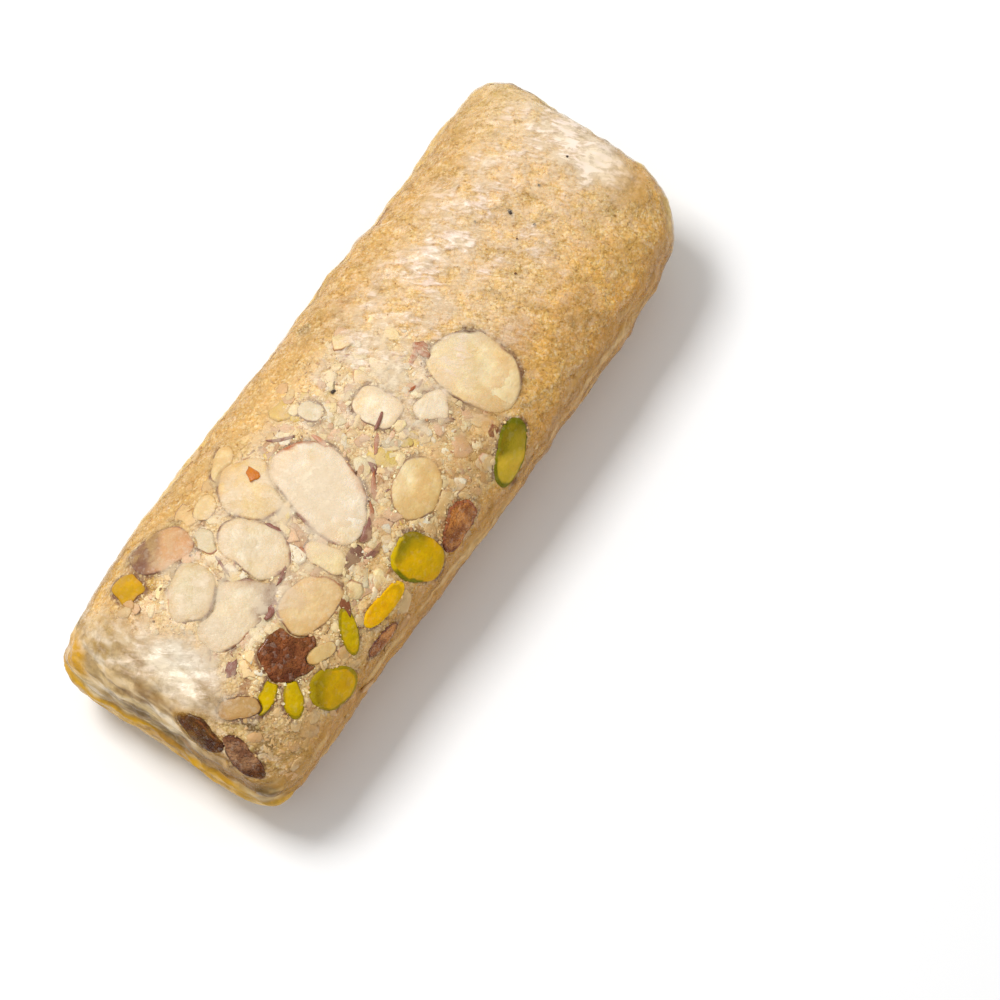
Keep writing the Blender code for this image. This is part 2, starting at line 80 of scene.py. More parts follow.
# ---- how the layers lie ----
RINGS = 400  # of the roll's surface, and the points on each
POINTS_AROUND = 240
FILLING_DEPTH = 0.26  # the filling's surface below the wrapper's
SHEET_GAP = 0.24  # the sheet's height over the filling before it is softened, and the least after
LEAST_SHEET_GAP = 0.14
SHEET_OVER_NUT = 0.10  # its height over a nut's top, before and after
LEAST_OVER_NUT = 0.04
SHEET_SOFTENING = 4  # how many times it is softened
DRAPE_SLOPE = 0.20  # how steeply it comes down beside a nut
PACKED_BELOW_NUT = 0.06  # the filling beside a nut, below its rim
SUNK_UNDER_NUT = 0.6  # and under the nut, below its top
CREASE_RISE = 0.22  # the sheet's fine creases
CREASE_RUN = math.radians(-64.0)  # the way they run
BRIDGE_HAZE = 0.10  # how milky the sheet is where it bridges a nut's rim
LOW_FLAP = 0.55  # how far the near end's lowest flap stands out
FLAP_HEIGHT = 9.7  # the height of its edge
END_FACE = (46.8, 49.5)  # the distances m between which the flanks turn into the two end faces
NEAR_FACE = (44.5, 46.5)  # the distances towards -x between which the near end's face begins
NUT_NEIGHBOURHOOD = 6.0  # how far off a nut still counts
FAR_OFF = 99.0  # a distance for no nut near, and a height that loses to every other
UNDER_ALL = -9.0

# ---- the slices and the grains ----
RIM_POWER = 8.0  # how flat a slice is: 2 would be an ellipsoid
NUT_BEND = 0.8  # how far it follows the roll's roundness: 1 would be all the way
CHIPPED_RIM = 0.09  # how uneven its outline is
TOP_RINGS = 19  # rings of points over its top, closer together at its rim
UNDER_RINGS = [0.97, 0.8, 0.4]  # and under it, as shares of its radius
WARPS_PER_METRE = 900.0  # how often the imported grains' places wander, and how far in metres
WARP_REACH = 0.0006

# ---- the studio, in metres ----
TABLE_REACH = 3.0
TABLE_DROP = 1e-4
LIGHT_PLACE = (-0.03, 0.34, 0.64)
LIGHT_TARGET = (0.0, 0.0, 0.01)
LIGHT_SIZE = 0.24
LIGHT_WATTS = 3.7
SURROUNDINGS = 0.57
CAMERA_PLACE = (-0.196432, -0.151044, 0.666780)
CAMERA_TARGET = (0.001909, -0.016605, 0.008455)
LENS_MM = 200.0

# name: (x, s, length, width, turn, thickness, proud, flesh, skins). The turn is measured in degrees
# from the roll's axis towards +s. A skin is (from, to, colour), in degrees round the outline.
NUTS = {
    "almond_slice_01": (
        -13.4, -0.4, 15.0, 9.4, 70, 1.4, 0.15, "ivory",
        [(-95, 20, "rust"), (90, 165, "plum"), (196, 225, "soot")],
    ),
    "almond_slice_02": (
        10.5, -7.1, 13.0, 9.3, 95, 1.4, 0.20, "straw", [(-70, -30, "bark"), (-120, -100, "rust")],
    ),
    "almond_slice_03": (
        -24.3, 2.4, 10.0, 6.8, 94, 1.2, 0.30, "milk", [(150, 215, "plum"), (-150, -95, "plum")],
    ),
    "almond_slice_04": (
        -33.3, 5.4, 7.7, 5.9, 30, 1.2, 0.40, "putty", [(80, 130, "rose"), (-150, -110, "plum")],
    ),
    "almond_slice_05": (
        -32.5, -0.5, 10.4, 7.0, -8, 1.2, 0.15, "milk", [(-60, 60, "plum"), (-140, -100, "rust")],
    ),
    "almond_slice_06": (
        -26.4, -7.8, 8.4, 6.2, -15, 1.4, 0.35, "cream", [(-20, 50, "rust"), (110, 175, "plum")],
    ),
    "almond_slice_07": (
        -18.2, 7.0, 8.6, 7.8, 80, 1.2, 0.10, "butter", [(90, 190, "plum"), (-150, -100, "rose")],
    ),
    "almond_slice_08": (-6.5, -9.9, 8.8, 6.0, 8, 1.3, 0.20, "oat", [(60, 150, "rust")]),
    "almond_slice_09": (-30.4, 12.2, 8.0, 5.6, -30, 1.4, 0.30, "tan", [(10, 150, "plum")]),
    "almond_chunk_01": (-0.7, 0.3, 6.2, 5.0, 100, 1.5, 0.35, "white", [(-150, -110, "plum")]),
    "almond_chunk_02": (3.4, -5.4, 4.6, 3.6, -20, 1.4, 0.35, "white", [(-90, -60, "bark")]),
    "almond_chunk_03": (-23.2, 10.6, 3.6, 2.8, 8, 1.2, 0.25, "butter", [(60, 150, "plum")]),
    "almond_chunk_04": (-17.0, 12.6, 5.4, 2.6, 24, 1.1, 0.20, "butter", [(80, 200, "plum")]),
    "almond_chunk_05": (-26.8, 7.9, 3.9, 2.6, 75, 1.1, 0.25, "putty", [(120, 250, "rust")]),
    "almond_chunk_06": (-41.8, -7.8, 5.0, 2.8, -46, 1.2, 0.30, "biscuit", [(-70, 60, "bark")]),
    "almond_chunk_07": (-20.3, -6.0, 5.4, 3.2, 100, 1.1, 0.20, "straw", [(-60, 30, "rose")]),
    "almond_chunk_08": (-30.2, -12.7, 4.0, 2.0, -25, 1.1, 0.25, "oat", [(-90, 40, "plum")]),
    "almond_chunk_09": (-5.6, 6.8, 3.4, 2.6, 95, 1.1, 0.25, "milk", [(0, 150, "plum")]),
    "pistachio_01": (-33.0, -9.2, 7.4, 6.4, -30, 1.8, 0.40, "purple", [(0, 360, "purple")]),
    "pistachio_02": (-32.4, -17.0, 7.6, 5.4, -42, 1.6, 0.30, "gold", [(0, 360, "olive")]),
    "pistachio_03": (
        -13.1, -15.6, 8.0, 6.0, 115, 1.6, 0.30, "gold", [(30, 130, "leaf"), (-40, 40, "lime")],
    ),
    "pistachio_04": (5.3, -17.4, 9.0, 5.0, 33, 1.6, 0.30, "sage", [(0, 360, "leaf")]),
    "pistachio_05": (-20.5, -15.8, 7.4, 2.8, -4, 1.4, 0.30, "honey", [(0, 360, "honey")]),
    "pistachio_06": (-26.0, -14.1, 5.4, 2.5, 54, 1.3, 0.30, "lime", [(0, 360, "olive")]),
    "pistachio_07": (-36.9, -12.9, 5.0, 2.6, 44, 1.3, 0.30, "lime", [(0, 360, "olive")]),
    "pistachio_08": (-38.6, -10.0, 4.6, 2.0, 12, 1.2, 0.25, "lime", [(0, 360, "olive")]),
    "pistachio_09": (-36.7, 13.2, 4.4, 3.6, 80, 1.3, 0.20, "amber", []),
    "skin_piece_01": (-6.3, -17.4, 7.2, 4.2, 20, 1.3, 0.25, "copper", [(0, 360, "rust")]),
    "skin_piece_02": (-23.5, -19.2, 6.0, 2.2, -6, 1.2, 0.25, "copper", [(0, 360, "plum")]),
    "skin_piece_03": (-46.5, -5.8, 6.6, 3.6, 90, 1.4, 0.25, "bark", [(0, 360, "bark")]),
    "skin_piece_04": (-46.0, -12.4, 6.2, 3.4, 84, 1.4, 0.25, "mauve", [(20, 110, "bark")]),
}

# where an outline is drawn out into a corner or flattened: (bearing, share of the radius, spread).
# The bearing and the spread are in degrees, and a bearing is measured as a turn is.
PULLS = {
    "almond_slice_01": [(159, -0.08, 30), (-118, 0.05, 25), (60, -0.05, 30)],
    "almond_slice_02": [(-90, -0.06, 30), (170, -0.06, 25)],
    "almond_slice_03": [
        (-128, 0.10, 20), (157, -0.13, 28), (94, 0.05, 20),
        (-30, 0.08, 25), (34, -0.06, 25),
    ],
    "almond_slice_04": [(80, -0.05, 30)],
    "almond_slice_05": [
        (-25, 0.17, 22), (70, 0.10, 25), (20, -0.05, 20),
        (-100, -0.06, 30), (170, 0.06, 25),
    ],
    "almond_slice_06": [(-30, 0.06, 25), (150, 0.05, 20)],
    "almond_slice_07": [
        (82, 0.12, 22), (-78, 0.12, 22), (192, 0.08, 24),
        (-10, -0.04, 25), (140, -0.05, 25),
    ],
    "almond_slice_08": [(60, 0.10, 20), (-20, -0.08, 20), (-100, 0.08, 24), (180, -0.08, 20)],
    "almond_slice_09": [(120, 0.10, 25), (-60, 0.10, 25)],
    "almond_chunk_01": [
        (60, 0.12, 18), (0, -0.08, 20), (-60, 0.14, 16),
        (-130, 0.10, 20), (150, -0.08, 20),
    ],
    "almond_chunk_02": [
        (-96, 0.42, 16), (4, 0.30, 18), (124, 0.14, 22),
        (-150, -0.14, 22), (-45, -0.10, 18),
    ],
    "almond_chunk_03": [(30, 0.08, 20), (-80, 0.08, 20)],
    "almond_chunk_04": [(60, 0.10, 20), (-110, 0.10, 20)],
    "almond_chunk_05": [(0, 0.10, 20), (120, -0.08, 25)],
    "almond_chunk_06": [(-60, 0.14, 18), (60, -0.10, 20), (150, 0.12, 18)],
    "almond_chunk_07": [(80, 0.10, 18), (-20, 0.10, 18), (-110, 0.10, 20)],
    "almond_chunk_08": [(0, 0.12, 20), (150, 0.12, 20)],
    "pistachio_01": [(60, 0.05, 15), (-20, 0.06, 12), (-70, 0.08, 14), (120, 0.06, 14), (180, 0.07, 14)],
    "pistachio_03": [(100, -0.06, 25), (20, 0.06, 25)],
    "pistachio_09": [(20, 0.14, 16), (110, 0.12, 18), (-70, 0.16, 16), (-160, 0.12, 18)],
    "pistachio_06": [(54, 0.16, 16), (-126, 0.10, 16)],
    "pistachio_07": [(-136, 0.14, 16), (44, 0.05, 20)],
    "pistachio_08": [(12, 0.12, 18), (192, 0.14, 16)],
    "skin_piece_01": [
        (-20, 0.12, 12), (40, -0.10, 12), (80, 0.10, 12),
        (150, 0.12, 14), (-100, -0.10, 14),
    ],
    "skin_piece_03": [
        (90, 0.14, 14), (30, 0.14, 16), (-30, -0.12, 18),
        (-70, 0.12, 16), (170, 0.14, 16), (130, -0.10, 14),
    ],
    "skin_piece_04": [(90, 0.12, 16), (-90, 0.20, 14), (0, -0.16, 26), (180, 0.14, 18)],
}

# folds of the sheet: a line from (x, s) to (x, s), with the step up to its left, and how far that
# side takes to sink back
FOLDS = [
    (-42.0, 12.4, -47.6, 10.6, 0.50, 2.4), (-38.0, 15.0, -42.0, 12.4, 0.30, 2.0),
    (-41.0, -19.0, -45.0, -27.0, 0.35, 2.0), (-47.4, 8.0, -44.0, -2.0, 0.25, 1.8),
    (47.0, 15.5, 42.5, 6.0, 0.30, 2.4), (44.5, -2.0, 43.0, -15.0, 0.25, 2.2),
    (30.0, -3.0, 25.0, -12.0, 0.22, 2.2), (20.0, 12.0, 12.0, 4.0, 0.20, 2.0),
    (36.0, 9.0, 29.0, 2.0, 0.20, 2.2), (14.0, -15.0, 22.0, -21.0, 0.25, 2.0),
    (-20.0, -22.0, -34.0, -23.0, 0.30, 2.0), (2.0, 18.0, -14.0, 19.0, 0.25, 2.0),
    (26.0, 16.5, 14.0, 17.5, 0.30, 2.0), (40.0, 0.0, 33.0, -8.0, 0.18, 2.2),
    (-38.0, -26.5, 4.0, -24.5, 0.38, 2.6), (0.0, -23.0, 42.0, -26.0, 0.34, 2.4),
    (42.0, 25.5, 6.0, 23.5, 0.38, 2.6), (10.0, 26.5, -36.0, 24.0, 0.34, 2.4),
]

# a nut that the sheet veils although it is not an almond
VEILED_NUTS = ("pistachio_09",)

# how milky the sheet lies over a nut, partly its own dry film and partly painted reflection of its gloss
HAZE_AND_SHEEN_OVER = {
    "almond_slice_01": 0.45, "almond_slice_02": 0.12, "almond_slice_03": 0.30, "almond_slice_04": 0.05,
    "almond_slice_05": 0.20, "almond_slice_07": 0.25, "almond_chunk_01": 0.35, "almond_slice_08": 0.12,
}

# nuts that change tone across: the other tone, the bearing it lies towards, and where along that
# bearing the change starts and ends, as shares of the radius
SECOND_TONES = {
    "almond_slice_01": ("rose", -62, 0.62, 1.05), "almond_slice_02": ("milk", 60, 0.4, 1.0),
    "almond_slice_05": ("lilac", -30, 0.35, 1.0), "almond_slice_06": ("butter", 150, 0.0, 0.8),
    "almond_slice_09": ("lilac", 124, -0.1, 0.5), "almond_slice_08": ("straw", 90, 0.0, 0.7),
    "pistachio_02": ("olive", 120, 0.1, 0.9), "pistachio_03": ("moss", 84, 0.1, 0.8),
    "pistachio_04": ("moss", 60, -0.2, 0.6), "pistachio_05": ("lime", 0, 0.6, 1.1),
    "skin_piece_03": ("copper", 0, 0.4, 1.0), "skin_piece_04": ("bark", -110, 0.3, 0.8),
}

# soft stains under the sheet: (x, s, reach along, reach across, tone, strength). The two dark ones
# down the left edge, at (23.5, 19.6) and (4.2, 16.2), are painted shadow of the sheet's folds there.
STAINS_AND_FOLD_SHADOWS = [
    (2.5, -14.6, 3.4, 2.6, "bark", 0.55), (-4.5, -14.2, 4.2, 2.6, "sienna", 0.75),
    (-10.0, -6.4, 4.0, 0.9, "plum", 0.40), (-28.6, -10.6, 3.4, 1.4, "plum", 0.45),
    (-25.0, -3.4, 2.2, 1.2, "plum", 0.50), (-6.5, -5.2, 3.0, 1.4, "sienna", 0.60),
    (-42.6, -10.3, 1.7, 1.6, "umber", 0.95), (-43.6, -13.6, 2.0, 1.5, "umber", 0.65),
    (-36.9, -6.9, 1.6, 1.5, "apricot", 0.80), (-39.4, -7.2, 1.2, 0.8, "sienna", 0.75),
    (-38.4, 9.4, 3.0, 2.4, "apricot", 0.55), (-35.8, 10.9, 2.8, 2.0, "mustard", 0.90),
    (-46.0, 12.3, 1.2, 2.2, "umber", 0.70), (-43.9, 6.3, 1.2, 1.0, "sienna", 0.55),
    (-32.0, 16.0, 2.5, 1.4, "umber", 0.60), (-47.0, -22.0, 1.2, 3.0, "umber", 0.80),
    (-15.2, 4.6, 1.6, 1.0, "plum", 0.55), (-19.2, -2.6, 1.6, 2.4, "plum", 0.50),
    (-29.6, 8.2, 2.0, 1.0, "plum", 0.50), (-27.4, 12.8, 2.2, 1.0, "umber", 0.60),
    (8.5, 0.4, 1.6, 1.3, "plum", 0.45), (-7.0, 4.2, 3.2, 1.2, "plum", 0.25),
    (-15.5, -9.8, 2.6, 1.6, "plum", 0.45), (-22.0, -10.4, 2.0, 1.4, "plum", 0.40),
    (-25.5, 10.0, 2.4, 1.0, "plum", 0.40), (17.0, -9.0, 5.0, 3.0, "sienna", 0.30),
    (24.0, -14.0, 6.0, 3.4, "sienna", 0.25), (23.5, 19.6, 1.6, 1.6, "sienna", 0.7),
    (4.2, 16.2, 1.4, 1.4, "umber", 0.75), (9.5, 13.0, 3.0, 1.0, "sienna", 0.35),
    (-19.5, 12.2, 2.0, 1.4, "sienna", 0.35), (-1.4, 9.0, 4.0, 2.4, "apricot", 0.35),
]

# dry and clear places of the sheet: (x, s, reach along, reach across, milkiness added). The milky
# ones are dry sheet with painted highlight in it, most of all the bright one on the far end at
# (43.0, -5.5).
VEILS_AND_HIGHLIGHTS = [
    (-40.8, 2.6, 2.7, 4.8, 0.58), (-43.4, -0.6, 1.6, 3.0, 0.20), (43.0, -5.5, 3.0, 6.0, 0.75),
    (34.0, 7.6, 2.4, 2.4, 0.35), (45.0, 3.0, 2.0, 5.0, 0.30),
    (-42.8, -11.5, 3.0, 3.6, -0.5), (-37.6, -7.0, 2.0, 1.6, -0.4), (-35.8, 11.0, 3.2, 2.4, -0.4),
    (4.0, 1.6, 4.0, 2.0, 0.30), (13.5, 1.5, 5.0, 1.6, 0.25),
    (-18.0, 3.0, 3.0, 2.0, 0.20), (38.5, 2.0, 3.0, 3.0, 0.20), (24.0, 4.0, 3.2, 2.4, 0.22),
    (20.0, 8.0, 3.0, 2.2, 0.20), (8.0, 6.0, 3.0, 1.8, 0.20),
]

# skins that show between the nuts: (x, s, length, width, turn, bow, colour)
SKIN_STRIPS = [
    (-14.9, -8.3, 3.6, 1.2, 20, 0.3, "plum"), (-12.6, -7.4, 3.0, 0.6, 35, 0.2, "rust"),
    (-9.6, -5.6, 4.4, 0.6, 42, -0.3, "rust"), (-7.3, -4.0, 2.4, 0.9, 60, 0.3, "plum"),
    (-4.6, -2.6, 3.4, 0.6, 28, 0.2, "rust"), (-2.0, -1.2, 2.6, 0.5, 15, 0.2, "plum"),
    (-16.3, 8.0, 2.3, 1.6, 60, 0.1, "orange"), (8.9, -0.1, 2.6, 1.7, 80, 0.1, "rust"),
    (7.4, 0.2, 2.4, 0.9, 10, 0.2, "rose"), (-25.4, -2.9, 2.6, 0.8, 10, 0.3, "plum"),
    (-29.4, -4.4, 3.2, 1.1, 5, 0.2, "plum"), (-18.0, -8.7, 4.0, 1.9, 10, 0.2, "lilac"),
    (-16.4, -10.4, 3.0, 0.8, -10, 0.3, "plum"), (-23.8, -11.3, 3.0, 1.4, 80, 0.2, "purple"),
    (-8.2, 3.2, 2.6, 0.7, 85, 0.2, "rose"), (-38.4, -4.3, 2.2, 1.5, 0, 0.2, "plum"),
    (-21.5, -3.2, 1.8, 0.7, 60, 0.2, "rust"), (-10.6, 7.6, 3.6, 0.5, -50, 0.3, "plum"),
    (-28.2, 4.4, 3.6, 0.4, 70, 0.2, "plum"), (-20.8, 1.8, 2.6, 0.5, 100, 0.2, "plum"),
    (4.8, -2.4, 3.2, 0.5, -10, 0.2, "rust"), (5.8, -13.4, 1.8, 1.2, 0, 0.2, "purple"),
]
DARK_SPECKS = [
    (30.5, 1.3, 0.9, 0.55, 60, 0.1, "soot"), (35.6, 0.3, 0.45, 0.4, 0, 0.0, "soot"),
    (40.8, -0.5, 0.5, 0.4, 0, 0.0, "soot"), (30.9, -2.2, 0.5, 0.35, 0, 0.0, "soot"),
    (-1.8, 6.0, 0.7, 0.6, 0, 0.0, "soot"), (-9.4, -2.6, 0.7, 0.6, 0, 0.0, "bark"),
    (27.0, 4.5, 0.35, 0.3, 0, 0.0, "soot"), (24.0, -4.0, 0.35, 0.3, 0, 0.0, "bark"),
    (28.0, -1.5, 0.4, 0.3, 0, 0.0, "bark"), (-22.3, 4.7, 0.5, 0.4, 0, 0.0, "bark"),
]


def tone(red, green, blue):
    """A colour as it is seen, 0 to 255 a channel, turned into linear light."""
    seen = np.array([red, green, blue]) / 255.0
    return np.where(seen <= 0.04045, seen / 12.92, ((seen + 0.055) / 1.055) ** 2.4)


def tones(seen):
    """Colours by name, each given as it is seen."""
    return {name: tone(*channels) for name, channels in seen.items()}


TONES = tones({
    "white": (240, 224, 196), "ivory": (240, 227, 206), "milk": (228, 211, 180),
    "putty": (216, 198, 160), "straw": (240, 220, 174), "butter": (228, 200, 146),
    "oat": (230, 198, 136), "cream": (230, 199, 146), "biscuit": (190, 150, 90),
    "gold": (226, 178, 0), "honey": (248, 188, 0), "lime": (208, 174, 0),
    "sage": (222, 186, 56), "olive": (160, 136, 4), "leaf": (122, 118, 10),
    "amber": (204, 154, 20), "tan": (208, 160, 112), "copper": (212, 142, 74),
    "bark": (98, 50, 4), "rust": (178, 104, 62), "rose": (210, 156, 124),
    "plum": (146, 94, 78), "purple": (140, 80, 42), "mauve": (172, 126, 88),
    "lilac": (132, 90, 70), "orange": (204, 116, 0), "soot": (58, 40, 26),
    "moss": (146, 128, 20), "umber": (112, 84, 36), "sienna": (166, 98, 46),
    # the cleft tone, at the end of the next line, is painted shade along the nuts' rims
    "apricot": (232, 178, 100), "mustard": (206, 156, 30), "gap_shade": (120, 74, 58),
    # the ridge and thin ridge tones, over the next two lines, are painted highlight on the crests of the
    # sheet's creases
    "lit grain": (250, 224, 160), "pale speck": (253, 236, 196), "ridge_highlight": (252, 226, 196),
    "thin ridge": (252, 230, 196), "dry film and sheen": (250, 228, 210), "right bits": (206, 162, 98),
    # the dry film tone on the line above is the dry sheet's milky tone, with painted highlight in it
    "left bits": (210, 166, 102),
})

# what the filling and the sheet take in their own places
FILLING_TONES = tones({
    "crown": (238, 196, 128), "left shoulder": (222, 174, 98), "left flank": (236, 184, 78),
    "right shoulder": (246, 196, 108), "right flank": (234, 174, 68), "far end": (242, 214, 160),
    "amber cloud": (224, 166, 76), "among nuts": (246, 214, 160), "dark clump": (188, 136, 90),
    "pale clump": (240, 212, 160), "near end": (226, 190, 132), "near right": (206, 164, 96),
    "near streak": (128, 94, 46), "gold edge": (222, 168, 26),
})
SHEET_TONES = tones({
    "crown": (244, 224, 192), "right shoulder": (230, 180, 98), "left shoulder": (228, 188, 116),
    # the left flank tone on the next line, the far rim tone after it and the flap tones further down are
    # the sheet's own yellows, partly painted glow of light through it
    "left flank": (240, 196, 92), "left foot": (234, 200, 132), "right flank": (210, 154, 62),
    "far face": (238, 210, 150), "far rim": (248, 214, 120), "near end": (216, 184, 130),
    "olive wedge": (176, 142, 76), "pale wedge": (236, 214, 166), "dry patch": (236, 222, 198),
    # the two wrinkle tones on the next line are painted highlight and painted shade
    "light wrinkle": (242, 224, 194), "dark wrinkle": (164, 130, 74), "olive streak": (112, 86, 42),
    "brown streak": (136, 98, 50), "fold line": (238, 210, 152), "gold corner": (208, 152, 4),
    "flap": (212, 160, 24), "flap foot": (220, 182, 112), "light edge": (244, 214, 150),
    "dark edge": (168, 120, 54), "over dark nuts": (214, 160, 56),
})

# what a nut's flesh is multiplied by in warm places and at its rim, and what a finish multiplies
# its tone by
WARM_SHADE = np.array([0.93, 0.84, 0.64])
RIM_SHADE = np.array([0.92, 0.80, 0.66])
# the gap, hollow and thin hollow shades are painted shade: between the grains, and in the hollows of the
# sheet's creases
SHADES = {
    "amber patch": (0.80, 0.76, 0.50), "dark grain": (0.66, 0.56, 0.36), "gap": (0.64, 0.54, 0.34),
    "dark speck": (0.50, 0.36, 0.20), "hollow": (0.68, 0.62, 0.38), "thin hollow": (0.62, 0.55, 0.38),
    "uneven bit": (0.78, 0.6, 0.4),
}

# palettes of the strewn bits: how often a tone is drawn, and the tone
NUT_TONES = [
    (4, tone(240, 214, 160)), (3, tone(242, 222, 178)), (2, tone(234, 200, 146)),
    (1.6, tone(246, 232, 202)), (1.6, tone(226, 184, 144)), (0.8, tone(208, 162, 118)),
    (0.3, tone(224, 190, 90)),
]
CRUMB_TONES = [
    (5, tone(252, 230, 184)), (3, tone(242, 210, 158)), (1.8, tone(224, 182, 122)),
    (0.9, tone(186, 134, 88)), (0.3, tone(126, 86, 56)),
]
SKIN_TONES = [
    (3, tone(190, 136, 106)), (2, tone(172, 106, 70)), (1.5, tone(140, 94, 80)),
    (0.6, tone(104, 66, 54)),
]
SUGAR_TINTS = [(3, np.array([1.3, 1.4, 1.6])), (4, np.ones(3)), (2, np.array([0.72, 0.60, 0.42]))]


# ---- arithmetic ----


def power(value, exponent):
    """The value's size raised to the exponent, with the value's sign kept."""
    return np.sign(value) * np.abs(value) ** exponent


def smooth_ramp(value, start, end):
    """0 before start, 1 after end, and a cubic ease between them."""
    part = np.clip((value - start) / (end - start), 0.0, 1.0)
    return part * part * (3.0 - 2.0 * part)


def blend(first, second, amount):
    """Goes from the first to the second as the amount goes from 0 to 1, for rows of colours."""
    return first + (second - first) * np.asarray(amount)[..., None]


def lay_over(tint, coats):
    """Lays coats over rows of colours in turn: each coat is a colour and its amount."""
    for shade, amount in coats:
        tint = blend(tint, shade, amount)
    return tint


def bell(value, middle, spread):
    """1 at the middle, falling away on both sides as a bell."""
    return np.exp(-(((value - middle) / spread) ** 2))


def lattice_noise(places, size, seed):
    """Smooth noise from -1 to 1: a random value at each corner of a cubic lattice of the given
    size, hashed from the corner's three whole numbers, and eased between the corners."""
    cell = np.asarray(places) / size
    low = np.floor(cell).astype(np.int64)
    part = cell - low
    ease = part * part * (3.0 - 2.0 * part)
    total = 0.0
    for corner in np.ndindex(2, 2, 2):
        key = low + np.array(corner)
        mixed = key[..., 0] * 73856093 ^ key[..., 1] * 19349663 ^ key[..., 2] * 83492791 ^ seed * 7368787
        mixed = (mixed ^ mixed >> 13) * 1274126177
        value = ((mixed ^ mixed >> 16) & 0xFFFF) / 32767.5 - 1.0
        share = np.prod(np.where(np.array(corner) == 1, ease, 1.0 - ease), axis=-1)
        total = total + share * value
    return total


def layered_noise(places, size, seed, layers=3):
    """Noise at the given size plus finer layers, each half as large and half as strong."""
    total = 0.0
    for layer in range(layers):
        total = total + lattice_noise(places, size / 2.0**layer, seed + layer) / 2.0**layer
    return total


def drawn_noise(places, stretch, size, seed):
    """Layered noise drawn out by its own stretch in x, y and z."""
    return layered_noise(places / np.array(stretch), size, seed)


def spot(x, s, place_x, place_s, reach_x, reach_s):
    """A soft spot on the roll, 1 at its place and falling away as a bell in x and in s."""
    return bell(x, place_x, reach_x) * bell(s, place_s, reach_s)


def blot(x, s, place_x, place_s, reach_x, reach_s):
    """A spot with an even middle and a narrow border."""
    return smooth_ramp(spot(x, s, place_x, place_s, reach_x, reach_s), 0.25, 0.75)


# ---- the roll's form ----


def unit_section(angle):
    """A superellipse of unit half width and height, by angle from the crown."""
    return power(np.sin(angle), 2.0 / SECTION_POWER), power(np.cos(angle), 2.0 / SECTION_POWER)


def rounded_end(x, exponent):
    """1 along the middle of the roll, falling to 0 at its two ends, as a superellipse."""
    reach = np.clip(np.abs(x) / (ROLL_LENGTH / 2.0), 0.0, 1.0)
    return (1.0 - reach**exponent) ** (1.0 / exponent)


def waist(x, depth, place, spread):
    """A bell-shaped hollow in one side."""
    return depth * bell(x, place, spread)


def half_width(x, is_left):
    """Half the roll's width at x: straight, less its taper and waist, with rounded corners."""
    taper = FAR_TAPER * smooth_ramp(x, 0.0, ROLL_LENGTH / 2.0)
    left = ROLL_WIDTH / 2.0 - taper - waist(x, *LEFT_WAIST)
    left *= rounded_end(x, np.where(x > 0.0, CORNER_POWER["far left"], CORNER_POWER["near left"]))
    right = ROLL_WIDTH / 2.0 - waist(x, *RIGHT_WAIST)
    right *= rounded_end(x, np.where(x > 0.0, CORNER_POWER["far right"], CORNER_POWER["near right"]))
    return np.where(is_left, left, right)


def bare_roll(x, angle):
    """The roll without its relief: the superellipse, scaled at x to its width and height."""
    across, up = unit_section(angle)
    rise = np.where(up > 0.0, ROLL_HEIGHT - MIDDLE_HEIGHT, UNDER_DEPTH)
    y = across * half_width(x, across > 0.0)
    crown_power = np.where(x > 0.0, FAR_CROWN_POWER, NEAR_CROWN_POWER)
    z = MIDDLE_HEIGHT + up * rise * rounded_end(x, crown_power)
    return np.stack(np.broadcast_arrays(x, y, z), axis=-1)


def arc_table():
    """Angles with the arc length of the middle section at each, measured from the crown."""
    angle = np.linspace(-math.pi, math.pi, 4001)
    across, up = unit_section(angle)
    up = up * np.where(up > 0.0, ROLL_HEIGHT - MIDDLE_HEIGHT, UNDER_DEPTH)
    step = np.hypot(np.diff(across * ROLL_WIDTH / 2.0), np.diff(up))
    arc = np.concatenate([[0.0], np.cumsum(step)])
    return angle, arc - np.interp(0.0, angle, arc)


def outline_table():
    """x along the roll, with the length of the plan's outline at each, measured from the middle."""
    x = ROLL_LENGTH / 2.0 * np.sin(np.linspace(-math.pi / 2.0, math.pi / 2.0, 8001))
    step = np.hypot(np.diff(x), np.diff(half_width(x, True)))
    length = np.concatenate([[0.0], np.cumsum(step)])
    return x, length - np.interp(0.0, x, length)


ANGLE_TABLE, ARC_TABLE = arc_table()
X_TABLE, M_TABLE = outline_table()
M_NEAR, M_FAR = M_TABLE[0], M_TABLE[-1]
ARC_END = ARC_TABLE[-1]


def roll_x(m):
    """x at the distance m along the outline."""
    return np.interp(m, M_TABLE, X_TABLE)


def roll_point(m, s):
    """The point of the bare roll at (m, s)."""
    return bare_roll(roll_x(m), np.interp(s, ARC_TABLE, ANGLE_TABLE))


def roll_axes(m, s, step=0.08):
    """Unit vectors along the outline, round the roll and outwards at (m, s), by differences."""
    along = roll_point(m + step, s) - roll_point(m - step, s)
    round_it = roll_point(m, s + step) - roll_point(m, s - step)
    outward = np.cross(along, round_it)
    outward /= np.linalg.norm(outward, axis=-1, keepdims=True)
    along /= np.linalg.norm(along, axis=-1, keepdims=True)
    return along, np.cross(outward, along), outward


